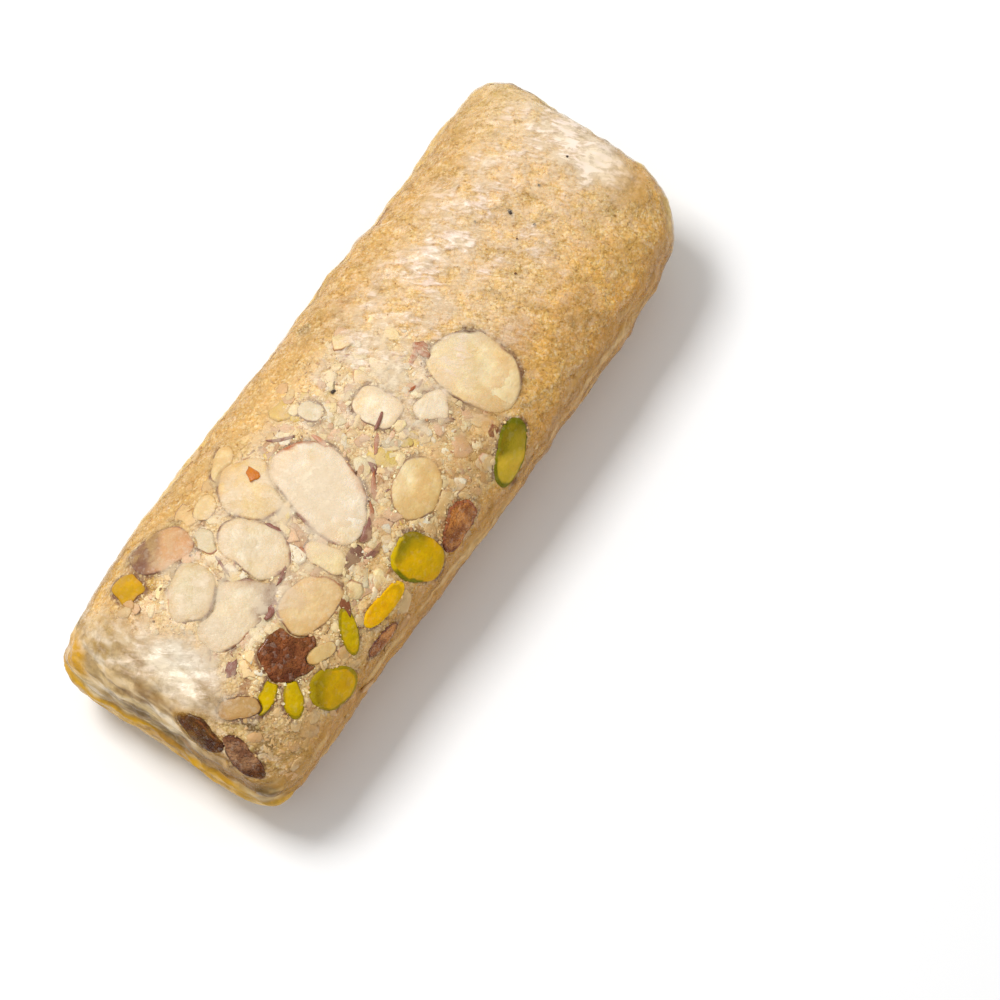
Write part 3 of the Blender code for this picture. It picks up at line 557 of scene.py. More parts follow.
def relief(s, points):
    """How far the wrapper stands out of the bare roll: slow waves for the uneven filling, creases
    that lean across the roll, a lip of under-layer round the near end, and stepped end flaps."""
    x, y, z = points[..., 0], points[..., 1], points[..., 2]
    draw = np.random.default_rng(RIPPLE_SEED)
    slow = 0.0
    for _ in range(SLOW_WAVES):
        along, round_it, phase = draw.uniform(0.08, 0.32), draw.uniform(0.1, 0.4), draw.uniform(0, 6.3)
        wave = np.sin(along * x + draw.choice([-1.0, 1.0]) * round_it * s + phase)
        slow = slow + wave / math.sqrt(SLOW_WAVES)
    lean = math.radians(CREASE_LEAN)
    wander = 1.3 * np.sin(0.21 * x - 0.17 * s) + 0.8 * np.sin(0.43 * s + 1.0)
    crease = np.sin(2.0 * math.pi * (x * math.sin(lean) + s * math.cos(lean) + wander) / CREASE_PITCH)
    crease_fade = 0.35 + 0.65 * smooth_ramp(x, -2.0, 14.0)
    near = 1.0 - smooth_ramp(x, -ROLL_LENGTH / 2.0, LIP_START)
    lip = LIP_REACH * near * bell(z, LIP_HEIGHT, LIP_THICKNESS)
    lip = lip * np.maximum(smooth_ramp(y, 4.0, 14.0), 1.0 - smooth_ramp(x, -44.0, -40.0))
    on_end = smooth_ramp(np.abs(x), ROLL_LENGTH / 2.0 - 3.0, ROLL_LENGTH / 2.0 - 0.5)
    flap = smooth_ramp(np.abs(y) - 0.8 * np.abs(z - MIDDLE_HEIGHT), 1.0, 3.0) - 0.5
    flank = SLOW_WAVE * slow + CREASE_DEPTH * crease * crease_fade + lip
    return flank * (1.0 - on_end) + FOLD_STEP * flap * on_end


# ---- where the nuts sit ----


def rim_curve(share):
    """A slice's half thickness, 1 at its middle and 0 at its rim: flat, then a tight round."""
    return (1.0 - np.clip(share, 0.0, 1.0) ** RIM_POWER) ** (1.0 / RIM_POWER)


class Nut:
    """One nut of the table: its seat on the roll, and its outline by bearing."""

    def __init__(self, name):
        self.name = name
        x, s, self.length, self.width, turn, self.thickness, *looks = NUTS[name]
        self.proud, self.flesh, self.skins = looks
        self.degrees = turn
        self.number = list(NUTS).index(name) + 1
        draw = np.random.default_rng(self.number)
        self.squareness = draw.uniform(2.0, 2.6)
        self.egg = draw.uniform(-0.1, 0.1)
        self.phases = draw.uniform(0, 6.3, 2)
        m = np.interp(x, X_TABLE, M_TABLE)
        along, across, outward = roll_axes(m, s)
        turn = math.radians(turn)
        self.along = along * math.cos(turn) + across * math.sin(turn)
        self.across = across * math.cos(turn) - along * math.sin(turn)
        self.outward = outward
        self.foot = roll_point(m, s)
        self.drop = self.roll_drop(m, s, turn)

    def roll_drop(self, m, s, turn, reach=3.0):
        """The roll's roundness under the nut, as second-order terms in the nut's own axes."""
        round_along = (self.height_over(m + reach, s) + self.height_over(m - reach, s)) / reach**2
        round_across = (self.height_over(m, s + reach) + self.height_over(m, s - reach)) / reach**2
        cos, sin = math.cos(turn), math.sin(turn)
        return (
            round_along * cos**2 + round_across * sin**2,
            round_along * sin**2 + round_across * cos**2,
            2.0 * (round_across - round_along) * cos * sin,
        )

    def height_over(self, m, s):
        """How high the roll's point at (m, s) lies over the nut's own level, below 0 if under it."""
        return float((roll_point(m, s) - self.foot) @ self.outward)

    def fall(self, u, v):
        """How far the roll has fallen away from the nut's own level at (u, v)."""
        uu, vv, uv = self.drop
        return np.clip((uu * u * u + vv * v * v + uv * u * v) / 2.0, -3.0, 0.0)

    def bend(self, u, v):
        """How far the nut sags at (u, v) to follow the roll."""
        return NUT_BEND * self.fall(u, v)

    def radius(self, bearing):
        """The outline: an egg-shaped superellipse with a slight wobble, times its pulls, each of
        which adds its share as a bell round its own bearing."""
        wobble = 1.0 + 0.035 * np.sin(3.0 * bearing + self.phases[0])
        wobble += 0.02 * np.sin(5.0 * bearing + self.phases[1])
        along = np.abs(np.cos(bearing)) / (self.length / 2.0)
        across = np.abs(np.sin(bearing)) / (self.width / 2.0 * (1.0 + self.egg * np.cos(bearing)))
        outline = (along**self.squareness + across**self.squareness) ** (-1.0 / self.squareness) * wobble
        degrees = np.degrees(bearing) + self.degrees
        for at, share, spread in PULLS.get(self.name, ()):
            gap = (degrees - at + 180.0) % 360.0 - 180.0
            outline = outline * (1.0 + share * bell(gap, 0.0, spread))
        return outline

    def local(self, points):
        """Points of the roll in the nut's own axes: u and v in its plane, w above its top's level."""
        away = points - self.foot
        return away @ self.along, away @ self.across, away @ self.outward

    def cover(self, points):
        """Of points on the roll: their distance outside the outline, below 0 inside it, and how
        high the nut's top lies over each along the outward direction."""
        u, v, w = self.local(points)
        radius = self.radius(np.arctan2(v, u))
        away = np.hypot(u, v)
        share = np.clip(away / radius, 0.0, 0.97)
        inside = np.minimum(1.0, radius / np.maximum(away, 1e-6))
        top = self.proud - self.thickness / 2.0 * (1.0 - rim_curve(share))
        top = top - (1.0 - NUT_BEND) * self.fall(u * inside, v * inside)
        return np.where(np.abs(w) < NUT_NEIGHBOURHOOD, away - radius, FAR_OFF), top


# ---- meshes ----


def make_piece(name, points, faces, finish, paints=None, smooth=True):
    """A mesh from arrays of points in millimetres and of faces, with painted point attributes:
    an attribute is one number, a colour or a place for each point."""
    mesh = bpy.data.meshes.new(name)
    mesh.from_pydata((points * MM).tolist(), [], faces.tolist() if hasattr(faces, "tolist") else faces)
    for label, values in (paints or {}).items():
        values = np.asarray(values, dtype=np.float32)
        if values.ndim == 1:
            layer = mesh.attributes.new(label, "FLOAT", "POINT")
            layer.data.foreach_set("value", values)
        elif label == "lay":
            layer = mesh.attributes.new(label, "FLOAT_VECTOR", "POINT")
            layer.data.foreach_set("vector", values.ravel())
        else:
            layer = mesh.attributes.new(label, "FLOAT_COLOR", "POINT")
            opaque = np.concatenate([values, np.ones((len(values), 1), np.float32)], axis=1)
            layer.data.foreach_set("color", opaque.ravel())
    mesh.materials.append(finish)
    mesh.polygons.foreach_set("use_smooth", np.full(len(mesh.polygons), smooth))
    mesh.update()
    made = bpy.data.objects.new(name, mesh)
    bpy.context.scene.collection.objects.link(made)
    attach(made, "root")
    return made


def closed_faces(rings, around):
    """Faces of a closed surface: a first point, rings of points round it, and a last point."""
    ring = np.arange(rings - 1)[:, None] * around + 1
    here = np.arange(around)[None, :]
    after = (here + 1) % around
    quads = np.stack([ring + here, ring + after, ring + around + after, ring + around + here], axis=-1)
    last = 1 + rings * around
    first_fan = [[0, 1 + (k + 1) % around, 1 + k] for k in range(around)]
    low = 1 + (rings - 1) * around
    last_fan = [[last, low + k, low + (k + 1) % around] for k in range(around)]
    return quads.reshape(-1, 4).tolist() + first_fan + last_fan


class Layer:
    """The roll's whole surface as a grid of rings, closer together over the crown."""

    def __init__(self, rings, around, crowding=0.42):
        m = np.linspace(M_NEAR, M_FAR, rings + 2)[1:-1]
        turn = np.linspace(-1.0, 1.0, around, endpoint=False)
        s = ARC_END * ((1.0 - crowding) * turn + crowding * turn**3)
        self.m, self.s = np.meshgrid(m, s, indexing="ij")
        self.points = roll_point(self.m, self.s)
        self.outward = roll_axes(self.m, self.s)[2]
        self.relief = relief(self.s, self.points)
        self.faces = closed_faces(rings, around)

    def read(self, field, m, s):
        """The grid's value at any (m, s), from its four neighbours."""
        row = np.interp(m, self.m[:, 0], np.arange(len(self.m)))
        around = self.s.shape[1]
        wrapped = np.append(self.s[0], ARC_END)
        column = np.interp(s, wrapped, np.arange(around + 1))
        low_row = np.clip(row.astype(int), 0, len(self.m) - 2)
        low_column = column.astype(int)
        part_row, part_column = row - low_row, column - low_column
        this, after = low_column % around, (low_column + 1) % around
        near = field[low_row, this] * (1 - part_column) + field[low_row, after] * part_column
        far = field[low_row + 1, this] * (1 - part_column) + field[low_row + 1, after] * part_column
        return near * (1 - part_row) + far * part_row

    def whole(self, field):
        """The grid's values with those of the two end points, which are the means of their rings."""
        flat = field.reshape(-1, *field.shape[2:])
        return np.concatenate([field[0].mean(0)[None], flat, field[-1].mean(0)[None]])

    def raised(self, height):
        """The surface at the given height above the bare roll, never below the base."""
        points = self.points + self.outward * height[..., None]
        points[..., 2] = np.maximum(points[..., 2], 0.0)
        return self.whole(points)


def soften(field, times):
    """Each value becomes the mean of itself and its four neighbours on the grid, several times."""
    for _ in range(times):
        ends = np.concatenate([field[:1], field, field[-1:]])
        sides = np.roll(field, 1, axis=1) + np.roll(field, -1, axis=1)
        field = (2.0 * field + ends[:-2] + ends[2:] + sides) / 6.0
    return field


def unit_pebble(subdivisions):
    """The points and faces of a unit icosphere, with a column for each point."""
    shape = bmesh.new()
    bmesh.ops.create_icosphere(shape, subdivisions=subdivisions, radius=1.0)
    points = np.array([list(corner.co) for corner in shape.verts])
    faces = np.array([[corner.index for corner in face.verts] for face in shape.faces])
    shape.free()
    return points, faces, np.arange(len(points))


def unit_chip(sides=7):
    """A flat chip: three stacked rings, the top one drawn in as a bevel, with a fan of faces on
    both. The three points of a column share their place round the chip."""
    turn = np.arange(sides) * 2.0 * math.pi / sides
    rings = [(0.80, 1.0), (1.0, 0.45), (0.85, -1.0)]
    points = np.concatenate([
        np.stack([reach * np.cos(turn), reach * np.sin(turn), np.full(sides, level)], axis=-1)
        for reach, level in rings
    ])
    here, after = np.arange(sides), (np.arange(sides) + 1) % sides
    faces = []
    for low in (sides, 2 * sides):
        faces += [[low + h, low + a, low - sides + a] for h, a in zip(here, after)]
        faces += [[low + h, low - sides + a, low - sides + h] for h, a in zip(here, after)]
    faces += [[0, k, k + 1] for k in range(1, sides - 1)]
    faces += [[2 * sides, 2 * sides + k + 1, 2 * sides + k] for k in range(1, sides - 1)]
    return points, np.array(faces), np.tile(here, 3)


UNIT_CRYSTAL = (
    np.array([[1, 0, 0], [0, 1, 0], [-1, 0, 0], [0, -1, 0], [0, 0, 1], [0, 0, -1]], dtype=float),
    np.array([[0, 1, 4], [1, 2, 4], [2, 3, 4], [3, 0, 4], [1, 0, 5], [2, 1, 5], [3, 2, 5], [0, 3, 5]]),
    np.arange(6),
)


def strew(name, shape, m, s, height, sizes, tints, finish, draw, uneven=0.25, tilt=0.3, smooth=True,
          turn=None, bow=None):
    """Joined copies of a unit shape, each with its columns pushed in and out at random, stretched
    to its own three sizes, bowed sideways, turned and tilted, and set at its height."""
    corners, faces, column = shape
    count = len(m)
    push = draw.uniform(-1.0, 1.0, (count, column.max() + 1))[:, column]
    local = corners[None] * (1.0 + uneven * push[..., None])
    local = local * sizes[:, None, :] / 2.0
    if bow is not None:
        local[..., 1] += bow[:, None] * local[..., 0] ** 2 / sizes[:, None, 0]
    turn = draw.uniform(0, 2 * math.pi, count) if turn is None else turn
    lean, roll = draw.normal(0, tilt, count), draw.normal(0, tilt, count)
    for angle, first, second in ((roll, 1, 2), (lean, 0, 2), (turn, 0, 1)):
        cos, sin = np.cos(angle)[:, None], np.sin(angle)[:, None]
        one, two = local[..., first].copy(), local[..., second].copy()
        local[..., first] = one * cos - two * sin
        local[..., second] = one * sin + two * cos
    along, across, outward = roll_axes(m, s)
    axes = np.stack([along, across, outward], axis=1)
    centre = roll_point(m, s) + outward * height[:, None]
    points = centre[:, None, :] + local @ axes
    points[..., 2] = np.maximum(points[..., 2], 0.05)
    every = faces[None] + (np.arange(count) * len(corners))[:, None, None]
    paints = {"tint": tints.reshape(-1, 3)}
    points, every = points.reshape(-1, 3), every.reshape(-1, faces.shape[1])
    return make_piece(name, points, every, finish, paints, smooth)


# ---- shader helpers ----


def add_node(tree, kind, inputs=None, **options):
    """Adds a shader node, sets its options, and gives each input a value or a link."""
    made = tree.nodes.new(kind)
    for option, value in options.items():
        setattr(made, option, value)
    for key, value in (inputs or {}).items():
        if isinstance(value, bpy.types.NodeSocket):
            tree.links.new(value, made.inputs[key])
        else:
            made.inputs[key].default_value = value
    return made


def span(tree, value, low, high, to_low=0.0, to_high=1.0):
    """The value's place between low and high, smoothly, as a number from to_low to to_high."""
    inputs = {"Value": value, "From Min": low, "From Max": high, "To Min": to_low, "To Max": to_high}
    return add_node(tree, "ShaderNodeMapRange", inputs, interpolation_type="SMOOTHSTEP").outputs[0]


def reckon(tree, operation, first, second, clamped=False):
    """One number from two."""
    inputs = {0: first, 1: second}
    return add_node(tree, "ShaderNodeMath", inputs, operation=operation, use_clamp=clamped).outputs[0]


def times(tree, first, second):
    """The product of two values."""
    return reckon(tree, "MULTIPLY", first, second)


def plus(tree, first, second, clamped=False):
    """The sum of two values."""
    return reckon(tree, "ADD", first, second, clamped)


def on_vectors(tree, operation, inputs):
    """One place or direction from others."""
    return add_node(tree, "ShaderNodeVectorMath", inputs, operation=operation).outputs[0]


def mix(tree, amount, first, second, way="MIX"):
    """One colour laid over another by an amount."""
    inputs = {0: amount, 6: first, 7: second}
    return add_node(tree, "ShaderNodeMix", inputs, data_type="RGBA", blend_type=way).outputs[2]


def colour(name):
    """A named tone with full opacity, as a colour socket takes it."""
    return (*TONES[name], 1.0)


def shader_group(name, inputs, outputs):
    """An empty shader group with its named sockets, and its two end nodes."""
    group = bpy.data.node_groups.new(name, "ShaderNodeTree")
    for label, kind, value in inputs:
        socket = group.interface.new_socket(name=label, in_out="INPUT", socket_type="NodeSocket" + kind)
        if value is not None:
            socket.default_value = value
    for label, kind in outputs:
        group.interface.new_socket(name=label, in_out="OUTPUT", socket_type="NodeSocket" + kind)
    return group, group.nodes.new("NodeGroupInput").outputs, group.nodes.new("NodeGroupOutput")


def grain_group():
    """Packed grains: cells of a given size, each with two random shades, darker at their gaps."""
    group, given, result = shader_group(
        "packed_grains",
        [("Vector", "Vector", None), ("Size", "Float", 0.0005)],
        [("Shade", "Float"), ("Kind", "Float"), ("Body", "Float")],
    )
    scale = reckon(group, "DIVIDE", 1.0, given["Size"])
    looks = {"Scale": WARPS_PER_METRE, "Detail": 2.0}
    warp = add_node(group, "ShaderNodeTexNoise", {"Vector": given["Vector"], **looks})
    shifted = on_vectors(group, "SUBTRACT", {0: warp.outputs["Color"], 1: (0.5, 0.5, 0.5)})
    bent = on_vectors(group, "SCALE", {0: shifted, "Scale": WARP_REACH})
    place = on_vectors(group, "ADD", {0: given["Vector"], 1: bent})
    cells = add_node(group, "ShaderNodeTexVoronoi", {"Vector": place, "Scale": scale})
    kinds = add_node(group, "ShaderNodeSeparateColor", {"Color": cells.outputs["Color"]})
    group.links.new(kinds.outputs[0], result.inputs["Shade"])
    group.links.new(kinds.outputs[1], result.inputs["Kind"])
    group.links.new(span(group, cells.outputs["Distance"], 0.75, 0.2), result.inputs["Body"])
    return group


def mottle_group():
    """Soft uneven patches of a given size, from 0 to 1, with a given contrast."""
    group, given, result = shader_group(
        "mottle",
        [("Vector", "Vector", None), ("Size", "Float", 0.003), ("Contrast", "Float", 0.5)],
        [("Amount", "Float")],
    )
    scale = reckon(group, "DIVIDE", 1.0, given["Size"])
    looks = {"Detail": 4.0, "Roughness": 0.6}
    noise = add_node(group, "ShaderNodeTexNoise", {"Vector": given["Vector"], "Scale": scale, **looks})
    half = times(group, reckon(group, "SUBTRACT", 1.0, given["Contrast"]), 0.25)
    low = plus(group, 0.25, half)
    high = reckon(group, "SUBTRACT", 0.75, half)
    group.links.new(span(group, noise.outputs["Fac"], low, high), result.inputs["Amount"])
    return group


def crinkle_group():
    """Crinkled sheet: soft swells, drawn out along the lay's first axis, about 0.5 on the whole."""
    group, given, result = shader_group(
        "crinkles",
        [("Lay", "Vector", None), ("Size", "Float", 0.0009), ("Stretch", "Float", 3.0)],
        [("Swell", "Float")],
    )
    scale = reckon(group, "DIVIDE", 1.0, given["Size"])
    along = reckon(group, "DIVIDE", 1.0, given["Stretch"])
    squeeze = add_node(group, "ShaderNodeCombineXYZ", {0: along, 1: 1.0, 2: 1.0})
    drawn = on_vectors(group, "MULTIPLY", {0: given["Lay"], 1: squeeze.outputs[0]})
    looks = {"Detail": 3.0, "Roughness": 0.55, "Distortion": 0.6}
    noise = add_node(group, "ShaderNodeTexNoise", {"Vector": drawn, "Scale": scale, **looks})
    group.links.new(noise.outputs["Fac"], result.inputs["Swell"])
    return group


GRAINS, MOTTLE, CRINKLES = grain_group(), mottle_group(), crinkle_group()


def use_group(tree, group, **inputs):
    """A group placed in a material, with its inputs."""
    return add_node(tree, "ShaderNodeGroup", inputs, node_tree=group).outputs


def new_finish(name, **settings):
    """A material: its tree, its shader with the given settings, and its object coordinates."""
    made = bpy.data.materials.new(name)
    made.use_nodes = True
    tree = made.node_tree
    shader = tree.nodes["Principled BSDF"]
    for label, value in settings.items():
        shader.inputs[label.replace("_", " ")].default_value = value
    place = tree.nodes.new("ShaderNodeTexCoord").outputs["Object"]
    return made, tree, shader, place


def painted(tree, label, output="Fac"):
    """A painted attribute's value, colour or place."""
    return add_node(tree, "ShaderNodeAttribute", attribute_name=label).outputs[output]


def connect(tree, shader, **sockets):
    """Links values to the shader's sockets."""
    for label, value in sockets.items():
        tree.links.new(value, shader.inputs[label.replace("_", " ")])


def shaded(tree, amount, tint, shade):
    """The tint multiplied by a shade, by an amount."""
    return mix(tree, amount, tint, mix(tree, 1.0, tint, (*shade, 1), "MULTIPLY"))


def bump(tree, height, distance, under=None):
    """A normal bent by a height from 0 to 1 that stands for the distance, in millimetres."""
    inputs = {"Height": height, "Distance": distance * MM}
    if under:
        inputs["Normal"] = under
    return add_node(tree, "ShaderNodeBump", inputs).outputs[0]


# ---- finishes ----


def filling_finish():
    """Packed sugar and ground nut, soaked with fat: pale and amber grains, darkened between them as
    painted shade, under the creases of the wet sheet, with painted highlight on their ridges and
    painted shade in their hollows."""
    made, tree, shader, place = new_finish(
        "packed_filling", Roughness=0.45, Specular_IOR_Level=0.25, Coat_Weight=0.28, Coat_Roughness=0.16,
        Subsurface_Weight=0.12, Subsurface_Radius=(1.0, 0.55, 0.25), Subsurface_Scale=0.0012,
    )
    grains = use_group(tree, GRAINS, Vector=place, Size=0.00048)
    fine = use_group(tree, GRAINS, Vector=place, Size=0.00025)
    lay = painted(tree, "lay", "Vector")
    crepe = painted(tree, "crepe")
    broad = use_group(tree, CRINKLES, Lay=lay, Size=0.0012, Stretch=2.2)
    thin = use_group(tree, CRINKLES, Lay=lay, Size=0.00050, Stretch=1.8)
    patches = use_group(tree, MOTTLE, Vector=place, Size=0.0035, Contrast=0.6)
    tint = painted(tree, "tint", "Color")
    tint = shaded(tree, times(tree, patches["Amount"], 0.40), tint, SHADES["amber patch"])
    lit = mix(tree, span(tree, grains["Shade"], 0.60, 1.0, 0.0, 0.45), tint, colour("lit grain"))
    dark = shaded(tree, span(tree, grains["Kind"], 0.70, 1.0, 0.0, 0.40), lit, SHADES["dark grain"])
    # painted shade in the low gaps between the grains
    gap = shaded(tree, span(tree, grains["Body"], 1.0, 0.0, 0.0, 0.40), dark, SHADES["gap"])
    speck = mix(tree, span(tree, fine["Shade"], 0.74, 1.0, 0.0, 0.40), gap, colour("pale speck"))
    speck = shaded(tree, span(tree, fine["Kind"], 0.86, 1.0, 0.0, 0.70), speck, SHADES["dark speck"])
    # painted shade in the hollows of the sheet's creases, and painted highlight on their ridges
    low = times(tree, span(tree, broad["Swell"], 0.47, 0.37), crepe)
    hollow = shaded(tree, times(tree, low, 0.90), speck, SHADES["hollow"])
    thin_low = times(tree, span(tree, thin["Swell"], 0.46, 0.34), crepe)
    hollow = shaded(tree, times(tree, thin_low, 0.85), hollow, SHADES["thin hollow"])
    high = times(tree, span(tree, broad["Swell"], 0.54, 0.64), crepe)
    ridge_highlight = mix(tree, times(tree, high, 0.36), hollow, colour("ridge_highlight"))
    thin_high = times(tree, span(tree, thin["Swell"], 0.55, 0.66), crepe)
    final = mix(tree, times(tree, thin_high, 0.42), ridge_highlight, colour("thin ridge"))
    height = plus(tree, grains["Body"], times(tree, fine["Body"], 0.4))
    swell = plus(tree, broad["Swell"], times(tree, thin["Swell"], 0.5))
    grainy = bump(tree, height, 0.06)
    connect(tree, shader, Base_Color=final, Normal=bump(tree, swell, 0.15, grainy))
    return made


def sheet_finish():
    """Rice paper: a thin film, clear where oil wets it to the filling, with milky patches drawn out
    along its creases where it lies dry, which also stand for painted highlight on the creases."""
    made, tree, shader, place = new_finish("rice_paper", Roughness=0.25, Specular_IOR_Level=0.22)
    lay = painted(tree, "lay", "Vector")
    creases = use_group(tree, CRINKLES, Lay=lay, Size=0.0012, Stretch=2.4)
    fine = use_group(tree, CRINKLES, Lay=lay, Size=0.0005, Stretch=2.0)
    dry = use_group(tree, CRINKLES, Lay=lay, Size=0.0008, Stretch=2.8)
    cloud = use_group(tree, MOTTLE, Vector=place, Size=0.0018, Contrast=0.5)
    zone = use_group(tree, MOTTLE, Vector=place, Size=0.0050, Contrast=0.9)
    dry_and_sheen = painted(tree, "dry")
    # milky streaks along the creases: dry sheet, and painted highlight on the creases
    streak = span(tree, dry["Swell"], 0.42, 0.66, 0.15, 1.0)
    patch = times(tree, streak, span(tree, zone["Amount"], 0.25, 0.75))
    patch = times(tree, patch, dry_and_sheen)
    haze = painted(tree, "haze")
    most = reckon(tree, "MINIMUM", haze, 0.17)
    swing = times(tree, span(tree, cloud["Amount"], 0.0, 1.0, -0.9, 0.9), most)
    body = plus(tree, haze, swing)
    alpha = plus(tree, body, times(tree, patch, 0.62))
    thin = times(tree, span(tree, fine["Swell"], 0.52, 0.62), dry_and_sheen)
    alpha = plus(tree, alpha, times(tree, thin, 0.20), clamped=True)
    swell = plus(tree, creases["Swell"], times(tree, fine["Swell"], 0.4))
    tint = mix(tree, patch, painted(tree, "tint", "Color"), colour("dry film and sheen"))
    connect(tree, shader, Base_Color=tint, Alpha=alpha, Normal=bump(tree, swell, 0.16))
    return made


def nut_finish(name, freckle, freckle_amount, pore_glint=0.12, rough=0.25, **settings):
    """Cut nut flesh: its painted tint, clouded and finely pored, with pale dots on some pores that are
    partly the flesh's own speckle and partly painted glints, the pores standing out as far as it is
    rough."""
    made, tree, shader, place = new_finish(
        name, Subsurface_Weight=0.25, Subsurface_Radius=(1.0, 0.7, 0.4), Subsurface_Scale=0.0012,
        **settings,
    )
    cloud = use_group(tree, MOTTLE, Vector=place, Size=0.0016, Contrast=0.5)
    pores = use_group(tree, GRAINS, Vector=place, Size=0.0004)
    tint = painted(tree, "tint", "Color")
    tint = shaded(tree, times(tree, cloud["Amount"], freckle_amount), tint, freckle)
    # pale dots on the pores: partly the flesh's own speckle, partly painted glints
    final = mix(tree, span(tree, pores["Shade"], 0.75, 1.0, 0.0, pore_glint), tint, (1.0, 0.93, 0.8, 1))
    height = plus(tree, cloud["Amount"], times(tree, pores["Body"], rough))
    connect(tree, shader, Base_Color=final, Normal=bump(tree, height, 0.06))
    return made


def grain_finish(name, roughness, spread=0.25):
    """Small bits: the painted tint of each, a little uneven."""
    made, tree, shader, place = new_finish(
        name, Roughness=roughness, Subsurface_Weight=0.15, Subsurface_Radius=(1.0, 0.7, 0.4),
        Subsurface_Scale=0.0008,
    )
    cloud = use_group(tree, MOTTLE, Vector=place, Size=0.0008, Contrast=0.6)
    tint = painted(tree, "tint", "Color")
    final = shaded(tree, times(tree, cloud["Amount"], spread), tint, SHADES["uneven bit"])
    connect(tree, shader, Base_Color=final, Normal=bump(tree, cloud["Amount"], 0.05))
    return made


# ---- pieces ----


def flow_places(points):
    """Places turned so that the first axis runs with the sheet's creases, in metres."""
    x, y = points[..., 0], points[..., 1]
    cos, sin = math.cos(CREASE_RUN), math.sin(CREASE_RUN)
    return np.stack([x * cos + y * sin, y * cos - x * sin, points[..., 2]], axis=-1) * MM


def chart_x(m):
    """x at the distance m along the outline, counted on past the ends down their faces."""
    return roll_x(m) + np.sign(m) * np.maximum(np.abs(m) - ROLL_LENGTH / 2.0, 0.0)


def side(m, s, points):
    """How far round from the crown a point lies: s, but y on the two end faces."""
    return s + (points[..., 1] - s) * smooth_ramp(np.abs(m), *END_FACE)


def fold_edge(points):
    """Height over the line along which the near end's lowest flap of sheet ends."""
    y, z = points[..., 1], points[..., 2]
    return z - FLAP_HEIGHT - 0.5 * np.sin(0.5 * y) + 0.3 * np.sin(1.3 * y + 1.0)


def near_face(x):
    """Where the near end's face is, from 0 to 1."""
    return smooth_ramp(-x, *NEAR_FACE)


def filling_tint(m, s, points):
    """The filling's tone: beige over the crown, yellow down the left flank, amber down the right,
    cream at the far end, tan round the near one, and browner between the crushed nut, each with
    uneven borders."""
    x, tones = chart_x(m), FILLING_TONES
    drift = layered_noise(points, 9.0, seed=40)
    edge = side(m, s, points) + 2.0 * drift
    far = smooth_ramp(x + 2.5 * drift, 36.0, 44.0) * smooth_ramp(edge, -16.0, -6.0)
    amber = smooth_ramp(layered_noise(points + 30.0, 7.0, seed=45), 0.1, 0.9)
    among = smooth_ramp(among_nuts(m, s), 0.25, 0.7)
    clumps = layered_noise(points + 70.0, 2.4, seed=70)
    near = smooth_ramp(-x + 2.0 * drift, 38.5, 43.0)
    streaks = smooth_ramp(drawn_noise(points, (1.0, 4.0, 0.8), 1.5, seed=90), 0.3, 0.9)
    on_side = 1.0 - smooth_ramp(np.abs(m), 47.5, 50.0)
    tint = lay_over(np.broadcast_to(tones["crown"], points.shape), [
        (tones["left shoulder"], smooth_ramp(edge, 9.0, 16.0)),
        (tones["left flank"], smooth_ramp(edge, 18.0, 24.0)),
        (tones["right shoulder"], smooth_ramp(-edge, 5.0, 13.0)),
        (tones["right flank"], smooth_ramp(-edge, 14.0, 21.0)),
        (tones["far end"], 0.8 * far),
        (tones["amber cloud"], 0.45 * amber * smooth_ramp(-edge, -4.0, 6.0)),
        (tones["among nuts"], 0.85 * among),
        (tones["dark clump"], 0.50 * among * smooth_ramp(clumps, 0.3, 1.0)),
        (tones["pale clump"], 0.6 * among * smooth_ramp(-clumps, 0.2, 0.9)),
        (tones["near end"], near),
        (tones["near right"], near * smooth_ramp(-edge, 10.0, 16.0)),
        (tones["near streak"], 0.6 * near_face(x) * streaks),
        (tones["gold edge"], smooth_ramp(-x, 24.0, 38.0) * smooth_ramp(s, 15.0, 18.5) * on_side),
    ])
    ragged = layered_noise(points + 90.0, 1.6, seed=95)
    # stains, and two painted shadows of folds at the left edge
    for place_x, place_s, reach_x, reach_s, stain, strength in STAINS_AND_FOLD_SHADOWS:
        inside = blot(x + 0.7 * ragged, s + 0.7 * ragged, place_x, place_s, reach_x, reach_s)
        tint = blend(tint, TONES[stain], strength * inside)
    patch = layered_noise(points + 50.0, 5.0, seed=60)
    lumpy = layered_noise(points + 10.0, 1.1, seed=62, layers=2)
    return tint * (1.0 + 0.09 * patch + 0.09 * lumpy)[..., None]


def fold_steps(m, s, points):
    """The sheet's folds: over each line the height steps up on its left side, and sinks back
    away from the line and past its two ends. The near end's lowest flap stands out as one step."""
    x = chart_x(m)
    height = np.zeros(np.broadcast(m, s).shape)
    for from_x, from_s, to_x, to_s, step, reach in FOLDS:
        run = math.hypot(to_x - from_x, to_s - from_s)
        along_x, along_s = (to_x - from_x) / run, (to_s - from_s) / run
        along = (x - from_x) * along_x + (s - from_s) * along_s
        bow = 0.6 * np.sin(2.2 * math.pi * along / run) + 0.25 * np.sin(1.9 * along)
        across = (s - from_s) * along_x - (x - from_x) * along_s + bow
        ends = smooth_ramp(along, -1.0, 1.5) * (1.0 - smooth_ramp(along, run - 1.5, run + 1.0))
        sinking = np.exp(-np.maximum(across, 0.0) / reach)
        height = height + step * ends * smooth_ramp(across, -0.15, 0.2) * sinking
    low_flap = (1.0 - smooth_ramp(fold_edge(points), -0.4, 0.1)) * smooth_ramp(-x, 43.5, 45.5)
    return height + LOW_FLAP * low_flap


